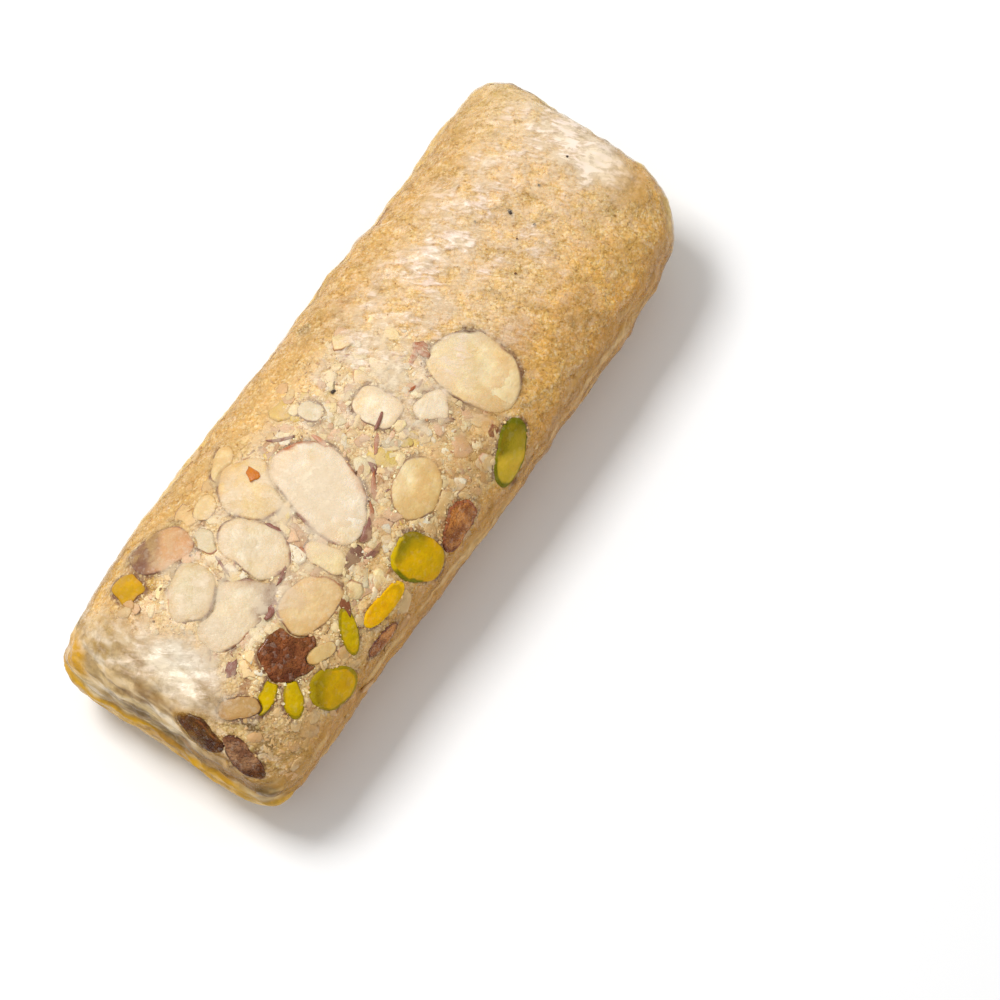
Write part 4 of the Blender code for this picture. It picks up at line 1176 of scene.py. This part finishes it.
def creases(points):
    """Fine creases of the sheet, from about -1 to 1: noise drawn out along the lay and folded
    back on itself, so that it rises to thin ridges."""
    drawn = flow_places(points) / MM / np.array([3.4, 1.0, 1.0])
    wander = 0.5 * layered_noise(drawn, 3.0, seed=310, layers=2)
    drawn = drawn + wander[..., None]
    ridges = 1.0 - 2.2 * np.abs(layered_noise(drawn, 1.7, seed=300, layers=2))
    finer = 1.0 - 2.2 * np.abs(lattice_noise(drawn + 9.0, 0.9, seed=320))
    return 0.7 * ridges + 0.35 * finer


def nut_cover(nuts, points):
    """For points on the roll: the distance outside the nearest nut, and the height of the top."""
    nearest = np.full(points.shape[:-1], FAR_OFF)
    height = np.full(points.shape[:-1], UNDER_ALL)
    for nut in nuts:
        outside, top = nut.cover(points)
        close = outside < NUT_NEIGHBOURHOOD
        fall = top - DRAPE_SLOPE * np.maximum(outside, 0.0)
        height = np.where(close, np.maximum(height, fall), height)
        nearest = np.minimum(nearest, outside)
    return nearest, height


def gap_share(layer):
    """The gap under the sheet, as a share of what it is on the crown: less on the flanks and ends."""
    return 1.0 - 0.6 * smooth_ramp(1.0 - layer.outward[..., 2], 0.25, 0.6)


def filling_height(layer, cover):
    """The filling's surface: the wrapper's relief, less its depth, with lumps and the sheet's
    creases pressed into it, packed up to each nut's rim, and sunk under it."""
    outside, top = cover
    lumps = 0.09 * layered_noise(layer.points, 1.8, seed=5)
    lumps = lumps + 0.03 * lattice_noise(layer.points, 0.7, seed=9)
    height = layer.relief - FILLING_DEPTH * gap_share(layer) + lumps
    height = height + fold_steps(layer.m, layer.s, layer.points) + crease_height(layer)
    height = np.where(outside < 3.0, np.maximum(height, top - PACKED_BELOW_NUT + 0.4 * lumps), height)
    sunk = np.minimum(height, top - SUNK_UNDER_NUT)
    return height + (sunk - height) * smooth_ramp(-outside, 0.0, 0.45)


def make_filling(layer, height, outside, finish):
    """The filling's surface at its height, with its tones painted on it, and a broken dark line of
    painted shade beside each nut."""
    # a broken dark line just outside each nut: painted shade where the filling meets it
    broken = smooth_ramp(layered_noise(layer.points + 40.0, 2.6, seed=120, layers=2), -0.4, 0.2)
    gap_shade = 0.95 * broken * bell(outside, 0.15, 0.42)
    tint = blend(filling_tint(layer.m, layer.s, layer.points), TONES["gap_shade"], gap_shade)
    paints = {
        "tint": layer.whole(tint),
        "lay": layer.whole(flow_places(layer.points)),
        "crepe": layer.whole(crepe_amount(layer.points)),
    }
    return make_piece("packed_filling", layer.raised(height), layer.faces, finish, paints)


def crepe_amount(points):
    """How crinkled the sheet lies: some over the plain half and the flanks, most at the near end."""
    x, y = points[..., 0], points[..., 1]
    plain, near = smooth_ramp(x, -4.0, 10.0), smooth_ramp(-x, 39.0, 44.0)
    flank = smooth_ramp(np.abs(y), 13.0, 16.5) * (1.0 - plain) * (1.0 - near)
    return 0.14 + 0.56 * plain + 0.80 * near + 0.45 * flank


def crease_height(layer):
    """How far the fine creases raise the filling and the sheet."""
    return CREASE_RISE * creases(layer.points) * crepe_amount(layer.points)


def clear_places(layer, nuts):
    """1 where the sheet may be milky, and 0 where oil clears it, over pistachios and skins."""
    clear = np.ones(layer.s.shape)
    for nut in nuts:
        if not nut.name.startswith("almond") and nut.name not in VEILED_NUTS:
            outside, _ = nut.cover(layer.points)
            clear = clear * (0.06 + 0.94 * smooth_ramp(outside, -0.5, 1.2))
    return clear


def dry_sheen_amount(layer, clear):
    """How strongly the dry streaks show, which are partly painted highlight: on the crown of the plain
    half, some at the near end.
    """
    x, s = layer.points[..., 0], layer.s
    crown = bell(s, 2.0, 9.5)
    plain = smooth_ramp(x, -6.0, 8.0) * (0.12 + 0.88 * crown)
    near = 0.35 * smooth_ramp(-x, 38.0, 42.0) * smooth_ramp(s, -8.0, 0.0) * (1.0 - near_face(x))
    return (0.06 + plain + near) * clear * (1.0 - lip_amount(layer.points))


def layer_streaks(m, points):
    """Edges of the sheet's many layers, from about -1 to 1: noise drawn out along the roll on its
    flanks, and across it on its two ends."""
    on_end = smooth_ramp(np.abs(m), *END_FACE)
    flank = drawn_noise(points, (5.5, 1.6, 0.8), 1.4, seed=93)
    end = drawn_noise(points, (1.6, 5.5, 0.8), 1.4, seed=94)
    return flank + (end - flank) * on_end


def sheet_haze(layer, nuts, clear):
    """How milky the sheet is: dry patches over the pale nuts and near both ends, which are partly
    painted highlight and painted reflection, more layers down the flanks, and clear over the
    pistachios, from 0 to 1."""
    x, s = chart_x(layer.m), layer.s
    cloud = layered_noise(layer.points + 20.0, 4.0, seed=80)
    right = smooth_ramp(-s, 4.0, 14.0)
    haze = 0.10 + 0.16 * smooth_ramp(cloud, -0.2, 1.0) * (1.0 - 0.7 * right)
    steep = 1.0 - layer.outward[..., 2]
    haze = haze + (0.42 + 0.25 * layer_streaks(layer.m, layer.points)) * smooth_ramp(steep, 0.42, 0.72)
    haze = haze + 0.18 * among_nuts(layer.m, s) * smooth_ramp(cloud, -0.5, 0.6) * (1.0 - 0.7 * right)
    haze = haze + 0.36 * near_face(x) + 0.6 * near_corner(layer) + 0.42 * near_wrinkled(layer)
    # milky places, partly painted highlight, and clear places
    for place_x, place_s, reach_x, reach_s, added in VEILS_AND_HIGHLIGHTS:
        haze = haze + added * spot(x + 0.8 * cloud, s + cloud, place_x, place_s, reach_x, reach_s)
    broken = smooth_ramp(layered_noise(layer.points + 60.0, 3.0, seed=85), -0.3, 0.5)
    for nut in nuts:
        if nut.name.startswith("almond"):
            outside, _ = nut.cover(layer.points)
            haze = haze + BRIDGE_HAZE * broken * bell(outside, 1.0, 0.6)
        # milky sheet over some nuts: dry film, and painted reflection of the sheet's gloss
        if nut.name in HAZE_AND_SHEEN_OVER:
            haze = haze + HAZE_AND_SHEEN_OVER[nut.name] * smooth_ramp(-outside, 0.3, 2.0) * (0.5 + 0.6 * cloud)
    haze = np.maximum(haze, 0.03) * clear + 0.6 * lip_amount(layer.points)
    return np.clip(haze, 0.0, 0.92)


def lip_amount(points):
    """Where the near end's lowest flap of sheet shows round its foot, from 0 to 1."""
    return smooth_ramp(-points[..., 0], 42.5, 45.0) * (1.0 - smooth_ramp(fold_edge(points), -0.3, 0.2))


def near_wrinkled(layer):
    """Where the sheet lies thick and wrinkled at the near end, left of the skins, from 0 to 1."""
    return smooth_ramp(-layer.points[..., 0], 39.0, 43.0) * smooth_ramp(layer.s, -9.0, -4.0)


def near_corner(layer):
    """The thick golden corner of sheet at the near end's left, from 0 to 1."""
    return smooth_ramp(spot(chart_x(layer.m), layer.s, -46.6, 18.6, 3.2, 3.6), 0.2, 0.7)


def sheet_tint(layer, clear):
    """The sheet's tone where it is thick or dry: cream above, yellow down the left flank, amber down
    the right, straw at the far end, and at the near end beige with olive streaks over a light fold
    and a mustard flap. The yellows of the left flank, the far rim and the flap are partly painted
    glow of light through the thin sheet, and the near end's wrinkles carry painted highlight and
    painted shade. Over the darker nuts it takes a warm tone."""
    x, s, points, tones = chart_x(layer.m), layer.s, layer.points, SHEET_TONES
    y, z = points[..., 1], points[..., 2]
    where = side(layer.m, s, points)
    steep = smooth_ramp(1.0 - layer.outward[..., 2], 0.35, 0.75)
    on_left = blend(tones["left flank"], tones["left foot"], 1.0 - smooth_ramp(z, 7.0, 13.0))
    wrinkles = drawn_noise(points, (0.9, 3.4, 0.9), 1.1, seed=92)
    streaks = drawn_noise(points, (0.9, 4.2, 0.8), 0.8, seed=91)
    edges = layer_streaks(layer.m, points)
    end, wrinkled = near_face(x), near_wrinkled(layer)
    middle = end * (1.0 - smooth_ramp(y, 7.5, 10.5))
    over_fold = middle * bell(fold_edge(points), 2.6, 1.9)
    flap = blend(tones["flap foot"], tones["flap"], smooth_ramp(z + 0.6 * streaks, 3.5, 6.5))
    return lay_over(np.broadcast_to(tones["crown"], points.shape), [
        (tones["right shoulder"], smooth_ramp(-where, 4.0, 13.0)),
        (tones["left shoulder"], smooth_ramp(where, 8.0, 15.0)),
        # the yellow down the steep left side: the oiled sheet's own colour, partly painted glow of light
        # through its thin edge
        (on_left, steep * smooth_ramp(where, -2.0, 3.0)),
        (tones["right flank"], steep * smooth_ramp(-where, -2.0, 3.0)),
        (tones["far face"], steep * smooth_ramp(x, 38.0, 46.0)),
        # the bright yellow round the far rim: the sheet's own yellow, partly painted glow of light
        # through its edge
        (tones["far rim"], steep * smooth_ramp(x, 41.0, 45.0) * smooth_ramp(z, 11.0, 15.0)),
        (tones["near end"], smooth_ramp(-x + 0.6 * s, 39.5, 46.0)),
        (tones["olive wedge"], 0.95 * blot(x, s, -43.8, 12.0, 2.4, 2.4)),
        (tones["pale wedge"], 0.9 * blot(x, s, -41.0, 16.6, 3.0, 2.2)),
        (tones["dry patch"], spot(x, s, -41.0, 2.6, 3.6, 6.0)),
        # painted highlight and painted shade: light and dark streaks on the near end's wrinkles
        (tones["light wrinkle"], 0.75 * smooth_ramp(wrinkles, 0.05, 0.55) * wrinkled),
        (tones["dark wrinkle"], 0.75 * smooth_ramp(-wrinkles, 0.10, 0.60) * wrinkled),
        (tones["olive streak"], 0.95 * over_fold * smooth_ramp(streaks, -0.45, 0.15)),
        (tones["brown streak"], 0.75 * middle * smooth_ramp(-streaks, 0.05, 0.5)),
        (tones["fold line"], 0.7 * end * bell(fold_edge(points), 0.35, 0.35)),
        (tones["gold corner"], near_corner(layer)),
        # the near flap's mustard: the oiled under-layer's own colour, partly painted glow of light
        # through it
        (flap, lip_amount(points)),
        (tones["light edge"], 0.45 * steep * smooth_ramp(edges, 0.15, 0.8)),
        (tones["dark edge"], 0.60 * steep * smooth_ramp(-edges, 0.15, 0.8)),
        (tones["over dark nuts"], 1.0 - clear),
    ])


def make_sheet(layer, nuts, cover, filling, finish):
    """The rice paper: drawn over the filling, lifted by each nut to just above its top, sloping
    down beside it, folded, and crinkled in thin leaning ridges."""
    outside, top = cover
    drawn = layer.relief + fold_steps(layer.m, layer.s, layer.points)
    height = np.maximum(np.maximum(drawn, filling + SHEET_GAP * gap_share(layer)), top + SHEET_OVER_NUT)
    height = soften(height, SHEET_SOFTENING)
    height = height + crease_height(layer)
    height = np.maximum(height, filling + LEAST_SHEET_GAP * gap_share(layer))
    height = np.maximum(height, np.where(outside < 0.0, top + LEAST_OVER_NUT, UNDER_ALL))
    clear = clear_places(layer, nuts)
    paints = {
        "tint": layer.whole(sheet_tint(layer, clear)),
        "lay": layer.whole(flow_places(layer.points)),
        "haze": layer.whole(sheet_haze(layer, nuts, clear)),
        # the dry streaks' strength, which also carries painted highlight
        "dry": layer.whole(dry_sheen_amount(layer, clear)),
    }
    return make_piece("rice_paper", layer.raised(height), layer.faces, finish, paints)


def nut_tint(nut, bearing, share, is_top, local):
    """The nut's flesh in soft clouds, warmer in places and towards its thin rim, with a second
    tone over one side, a broken dark line of painted shade along its rim, and its skins on the rim."""
    seed = 500 + nut.number
    cloud = layered_noise(local, 3.0, seed)
    warm = layered_noise(local, 1.7, seed=seed + 3)
    tint = np.broadcast_to(TONES[nut.flesh], local.shape)
    if nut.name in SECOND_TONES:
        second, towards, start, end = SECOND_TONES[nut.name]
        along = share * np.cos(bearing + math.radians(nut.degrees - towards)) + 0.2 * cloud + 0.1 * warm
        tint = blend(tint, TONES[second], smooth_ramp(along, start, end))
    tint = tint * (1.0 + 0.07 * cloud[..., None])
    tint = blend(tint, tint * WARM_SHADE, 0.7 * smooth_ramp(warm, 0.1, 1.0))
    tint = blend(tint, tint * RIM_SHADE, 0.8 * smooth_ramp(share + 0.2 * cloud, 0.66, 1.0))
    # a broken dark line along the rim: painted shade where the slice meets the filling
    broken = smooth_ramp(layered_noise(local, 2.6, seed=seed + 11, layers=2), -0.35, 0.15)
    line = smooth_ramp(share + 0.03 * warm, 0.92, 0.98)
    tint = blend(tint, TONES["gap_shade"], 0.9 * broken * line)
    degrees = np.degrees(bearing)
    wide = 0.91 if nut.name.startswith("almond") else 0.82
    for start, end, skin in nut.skins:
        ragged = 14.0 * lattice_noise(local, 1.1, seed=seed + 7)
        after = (degrees - start + 360.0) % 360.0
        reach = (end - start) - after
        on_arc = smooth_ramp(np.minimum(after, reach) + ragged, 0.0, 10.0) if end - start < 360 else 1.0
        edge = smooth_ramp(share + 0.06 * layered_noise(local, 1.2, seed=seed + 9), wide, wide + 0.07)
        edge = np.where(is_top, edge, 1.0)
        tint = blend(tint, TONES[skin] * (1.0 + 0.15 * cloud[..., None]), on_arc * edge)
    return tint


def with_ends(grid, first, last):
    """A grid's values in one row, with those of the surface's first and last point."""
    return np.concatenate([[first], grid.ravel(), [last]])


def make_nut(nut, nuts, finish, around=96):
    """One nut: an outline of radius by bearing, drawn in to its middle above and below, with a
    tightly rounded rim, bent to the roll, and pressed under the nuts that come before it."""
    above = np.sin(np.linspace(0.0, math.pi / 2.0, TOP_RINGS + 1))[1:]
    share = np.concatenate([above, UNDER_RINGS])
    is_top = np.arange(len(share)) < TOP_RINGS
    turn = np.linspace(0, 2 * math.pi, around, endpoint=False)
    share_grid, bearing = np.meshgrid(share, turn, indexing="ij")
    top_grid = np.broadcast_to(is_top[:, None], share_grid.shape)
    chipped = np.stack([np.cos(bearing), np.sin(bearing), 0 * bearing], axis=-1) * nut.length / 2.0
    chipped = layered_noise(chipped, 1.3, seed=700 + nut.number, layers=2)
    radius = (nut.radius(bearing) + CHIPPED_RIM * chipped * share_grid**4) * share_grid
    u, v = radius * np.cos(bearing), radius * np.sin(bearing)
    rise = rim_curve(share_grid) * nut.thickness / 2.0
    w = np.where(top_grid, rise, -rise)
    u, v = with_ends(u, 0.0, 0.0), with_ends(v, 0.0, 0.0)
    w = with_ends(w, nut.thickness / 2.0, -nut.thickness / 2.0)
    local = np.stack([u, v, w], axis=-1)
    w = w + 0.08 * layered_noise(local, 2.2, seed=900 + nut.number)
    w = w + nut.proud - nut.thickness / 2.0 + nut.bend(u, v)
    points = nut.foot + u[:, None] * nut.along + v[:, None] * nut.across + w[:, None] * nut.outward
    for other in nuts[: nuts.index(nut)]:
        ou, ov, ow = other.local(points)
        beyond = np.hypot(ou, ov) / other.radius(np.arctan2(ov, ou))
        level = other.proud - other.thickness - 0.1 + other.bend(ou, ov)
        excess = np.maximum(ow - level, 0.0) * (1.0 - smooth_ramp(beyond, 0.98, 1.10))
        points = points - np.where(np.abs(ow) < 5.0, excess, 0.0)[:, None] * nut.outward
    bearing, share_grid = with_ends(bearing, 0.0, 0.0), with_ends(share_grid, 0.0, 0.0)
    tint = nut_tint(nut, bearing, share_grid, with_ends(top_grid, True, False), local)
    faces = closed_faces(len(share), around)
    made = make_piece(nut.name + "_slice", points, faces, finish, {"tint": tint})
    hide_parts(nut.name)
    return made


def scatter(count, draw, density):
    """Seeded places on the roll, kept with a chance that follows the density at each and the
    roll's narrowing over its ends."""
    m, s = np.zeros(0), np.zeros(0)
    while len(m) < count:
        try_m = draw.uniform(M_NEAR + 1.0, M_FAR - 1.0, 4 * count)
        try_s = draw.uniform(-ARC_END, ARC_END, 4 * count)
        narrowing = half_width(roll_x(try_m), True) / (ROLL_WIDTH / 2.0)
        keep = draw.random(4 * count) < narrowing * density(try_m, try_s)
        m, s = np.append(m, try_m[keep]), np.append(s, try_s[keep])
    return m[:count], s[:count]


def among_nuts(m, s):
    """How thick the crushed nut lies: all of it from the near end to the middle, on the top, and
    less where the near end's dry patch of sheet covers it."""
    x = roll_x(m)
    wave = layered_noise(np.stack([x, s, 0 * x], axis=-1), 7.0, seed=150)
    top = 1.0 - smooth_ramp(np.abs(s + 3.5) + 1.5 * wave, 12.0, 17.5)
    ending = x + 3.0 * wave + 0.35 * np.maximum(s, 0.0)
    along = smooth_ramp(x, -47.0, -41.0) * (1.0 - smooth_ramp(ending, 5.0, 13.0))
    patch = spot(x, s, -43.0, 6.0, 4.0, 8.0)
    return np.clip(along * (0.04 + 0.96 * top) * (0.85 + 0.3 * wave) * (1.0 - 0.9 * patch), 0.0, 1.0)


def inner_nuts(m, s):
    """How thick the larger pieces lie: as the crushed nut, but hardly any at the near end."""
    return among_nuts(m, s) * (0.08 + 0.92 * smooth_ramp(roll_x(m), -42.0, -35.0))


def pick_tints(draw, count, palette):
    """A tone for each of the bits, drawn from a palette of (share, colour), and varied a little."""
    shares = np.array([share for share, _ in palette])
    choice = draw.choice(len(palette), count, p=shares / shares.sum())
    tints = np.array([shade for _, shade in palette])[choice]
    return tints * (1.0 + 0.12 * draw.normal(0, 1, (count, 1)))


def skinned(tints, column, share, draw):
    """Tints for each corner of each bit. Some bits keep a strip of skin: three neighbouring
    columns of corners, below the top ring."""
    count, corners, sides = len(tints), len(column), column.max() + 1
    tints = tints[:, None] * (1.0 + 0.05 * draw.normal(0, 1, (count, corners, 1)))
    start = draw.integers(0, sides, count)
    has_skin = draw.random(count) < share
    on_strip = (column[None] - start[:, None]) % sides < 3
    on_strip = on_strip & has_skin[:, None] & (np.arange(corners) >= sides)[None]
    return np.where(on_strip[..., None], pick_tints(draw, count, SKIN_TONES)[:, None], tints)


def make_bits(name, kind, layer, surface, nuts):
    """A kind of loose bit, strewn over the roll just under the sheet and beside the nuts."""
    draw = np.random.default_rng(kind["seed"])
    m, s = scatter(kind["count"], draw, kind["where"])
    long = draw.uniform(0.0, 1.0, len(m)) ** 2.0
    long = kind["size"][0] + (kind["size"][1] - kind["size"][0]) * long
    outside, _ = nut_cover(nuts, roll_point(m, s))
    keep = outside > kind.get("margin", 0.35) * long
    m, s, long = m[keep], s[keep], long[keep]
    wide = long * draw.uniform(*kind.get("slimness", (0.55, 0.95)), len(m))
    thick = np.minimum(long * kind["flatness"], 0.5)
    sizes = np.stack([long, wide, thick], axis=-1)
    height = layer.read(surface, m, s) - 0.5 * thick + draw.uniform(*kind["rise"], len(m))
    tints = pick_tints(draw, len(m), kind["tones"])
    places = roll_point(m, s)
    if kind.get("takes_filling_tone"):
        tints = tints * filling_tint(m, s, places)
    else:
        dull = np.clip(smooth_ramp(-places[:, 0], 38.0, 42.0) + smooth_ramp(-s, 12.0, 18.0), 0.0, 1.0)
        tints = blend(tints, TONES["right bits"], 0.7 * dull)
        tints = blend(tints, TONES["left bits"], 0.8 * smooth_ramp(s, 7.0, 14.0))
    tints = skinned(tints, kind["shape"][2], kind.get("skins", 0.0), draw)
    looks = {key: kind[key] for key in ("uneven", "tilt", "smooth") if key in kind}
    if "bow" in kind:
        looks["bow"] = draw.normal(0, kind["bow"], len(m))
    tints = np.clip(tints, 0.0, 1.0)
    return strew(name, kind["shape"], m, s, height, sizes, tints, kind["finish"], draw, **looks)


def make_placed_bits(name, places, shape, finish, layer, filling, lift, seed):
    """Bits set one by one: each is (x, s, length, width, turn, bow, colour)."""
    draw = np.random.default_rng(seed)
    x, s, long, wide, turn, bow = np.array([place[:6] for place in places], dtype=float).T
    m = np.interp(x, X_TABLE, M_TABLE)
    sizes = np.stack([long, wide, np.full(len(x), 0.3)], axis=-1)
    tints = np.repeat(np.array([TONES[place[6]] for place in places]), len(shape[0]), axis=0)
    height = layer.read(filling, m, s) + lift
    return strew(name, shape, m, s, height, sizes, tints, finish, draw, uneven=0.3, tilt=0.1,
                 turn=np.radians(turn), bow=bow)


def make_floor():
    """A plain pale table top."""
    made = bpy.data.materials.new("table_top")
    made.use_nodes = True
    shader = made.node_tree.nodes["Principled BSDF"]
    shader.inputs["Base Color"].default_value = (0.93, 0.93, 0.93, 1.0)
    shader.inputs["Roughness"].default_value = 0.6
    mesh = bpy.data.meshes.new("floor")
    corners = [(-1, -1), (1, -1), (1, 1), (-1, 1)]
    points = [(x * TABLE_REACH, y * TABLE_REACH, -TABLE_DROP) for x, y in corners]
    mesh.from_pydata(points, [], [(0, 1, 2, 3)])
    mesh.materials.append(made)
    floor = bpy.data.objects.new("floor", mesh)
    bpy.context.scene.collection.objects.link(floor)


def aim(thing, target):
    """Turns a camera or light to look at a point."""
    away = Vector(target) - thing.location
    thing.rotation_euler = away.to_track_quat("-Z", "Y").to_euler()


def make_light():
    """A large soft square light from the upper left, aimed at the sweet."""
    lamp = bpy.data.lights.new("key", "AREA")
    lamp.shape = "SQUARE"
    lamp.size = LIGHT_SIZE
    lamp.energy = LIGHT_WATTS
    made = bpy.data.objects.new("key", lamp)
    made.location = LIGHT_PLACE
    aim(made, LIGHT_TARGET)
    bpy.context.scene.collection.objects.link(made)


def make_studio():
    """White surroundings, the light, and plain tones."""
    world = bpy.data.worlds.new("studio")
    world.use_nodes = True
    around = world.node_tree.nodes["Background"].inputs
    around["Color"].default_value = (1.0, 1.0, 1.0, 1.0)
    around["Strength"].default_value = SURROUNDINGS
    bpy.context.scene.world = world
    make_light()
    bpy.context.scene.view_settings.view_transform = "Standard"


def make_camera():
    """The photograph's view: a long lens, 70 degrees above the table."""
    lens = bpy.data.cameras.new("camera")
    lens.lens = LENS_MM
    lens.sensor_width = 36.0
    lens.clip_start, lens.clip_end = 0.05, 20.0
    made = bpy.data.objects.new("camera", lens)
    made.location = CAMERA_PLACE
    aim(made, CAMERA_TARGET)
    bpy.context.scene.collection.objects.link(made)
    bpy.context.scene.camera = made


def slot_of(name):
    """The material slot that the record gives a nut."""
    if name.startswith("almond"):
        return "almond"
    return "nut_skin" if name.startswith("skin") or name == "pistachio_01" else "pistachio"


def sugared(m, s):
    """Sugar lies all over, thickest down the right side of the plain half, thin under the roll."""
    shown = 1.0 - smooth_ramp(np.abs(s), 22.0, 30.0)
    right = smooth_ramp(-s, 0.0, 8.0) * smooth_ramp(roll_x(m), -4.0, 16.0)
    return (0.12 + 0.28 * shown) + 0.6 * right * shown


def bit_kinds():
    """Each kind of loose bit: how many, where, how large and what they look like."""
    nut = grain_finish("crushed_nut", 0.45)
    skin, sugar = grain_finish("dry_skin", 0.45, 0.5), grain_finish("sugar", 0.25, 0.1)
    return {
        "nut_pieces": dict(
            count=520, seed=11, where=inner_nuts, size=(1.6, 3.8), slimness=(0.5, 0.95), flatness=0.14,
            rise=(-0.02, 0.10), shape=unit_chip(9), finish=nut, tones=NUT_TONES, skins=0.35, uneven=0.3,
            tilt=0.04, margin=0.14,
        ),
        "nut_bits": dict(
            count=950, seed=15, where=among_nuts, size=(0.7, 2.0), slimness=(0.4, 0.8), flatness=0.24,
            rise=(0.0, 0.10), shape=unit_chip(7), finish=nut, tones=NUT_TONES, skins=0.2, uneven=0.4,
            tilt=0.07, margin=0.05,
        ),
        "nut_crumbs": dict(
            count=5200, seed=12, where=among_nuts, size=(0.2, 0.6), flatness=0.6, rise=(0.02, 0.14),
            shape=unit_chip(5), finish=nut, tones=CRUMB_TONES, uneven=0.35, tilt=0.3,
            smooth=False, margin=-0.2,
        ),
        "skin_flakes": dict(
            count=240, seed=14, where=among_nuts, size=(0.6, 2.2), slimness=(0.12, 0.3), flatness=0.2,
            rise=(0.03, 0.10), shape=unit_pebble(1), finish=skin, tones=SKIN_TONES, uneven=0.2, tilt=0.08,
            bow=0.6, margin=0.0,
        ),
        "sugar_grains": dict(
            count=5200, seed=13, where=sugared, size=(0.24, 0.42), flatness=0.8, rise=(-0.04, 0.12),
            shape=UNIT_CRYSTAL, finish=sugar, tones=SUGAR_TINTS, takes_filling_tone=True, tilt=0.6,
            smooth=False,
        ),
    }


def build():
    """Makes every piece of the sweet, then the table, the light and the camera."""
    nuts = [Nut(name) for name in NUTS]
    layer = Layer(RINGS, POINTS_AROUND)
    outside, top = cover = nut_cover(nuts, layer.points)
    filling = filling_height(layer, cover)
    made = [
        make_filling(layer, filling, outside, filling_finish()),
        make_sheet(layer, nuts, cover, filling, sheet_finish()),
    ]
    surface = np.maximum(filling, np.where(outside < 0.0, top, UNDER_ALL))
    made += [make_bits(name, kind, layer, surface, nuts) for name, kind in bit_kinds().items()]
    skin = grain_finish("nut_skin_strip", 0.4, 0.4)
    chip, pebble = unit_chip(11), unit_pebble(1)
    made.append(make_placed_bits("skin_strips", SKIN_STRIPS, chip, skin, layer, surface, 0.02, 31))
    speck = grain_finish("dark_speck", 0.5, 0.2)
    made.append(make_placed_bits("dark_specks", DARK_SPECKS, pebble, speck, layer, filling, 0.22, 32))
    for piece in made:
        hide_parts("rice_paper_roll")
    finishes = {
        "almond": nut_finish(
            "almond", (0.90, 0.82, 0.64), 0.5, Roughness=0.42, Specular_IOR_Level=0.35
        ),
        "pistachio": nut_finish(
            "pistachio", (0.78, 0.82, 0.4), 0.7, 0.04, Roughness=0.5, Specular_IOR_Level=0.08
        ),
        "nut_skin": nut_finish(
            "nut_skin", (0.42, 0.30, 0.26), 0.9, 0.09, 2.5, Roughness=0.5, Specular_IOR_Level=0.08,
            Coat_Weight=0.25, Coat_Roughness=0.12,
        ),
    }
    for nut in nuts:
        piece = make_nut(nut, nuts, finishes[slot_of(nut.name)])
    make_floor()
    make_studio()
    make_camera()


build()
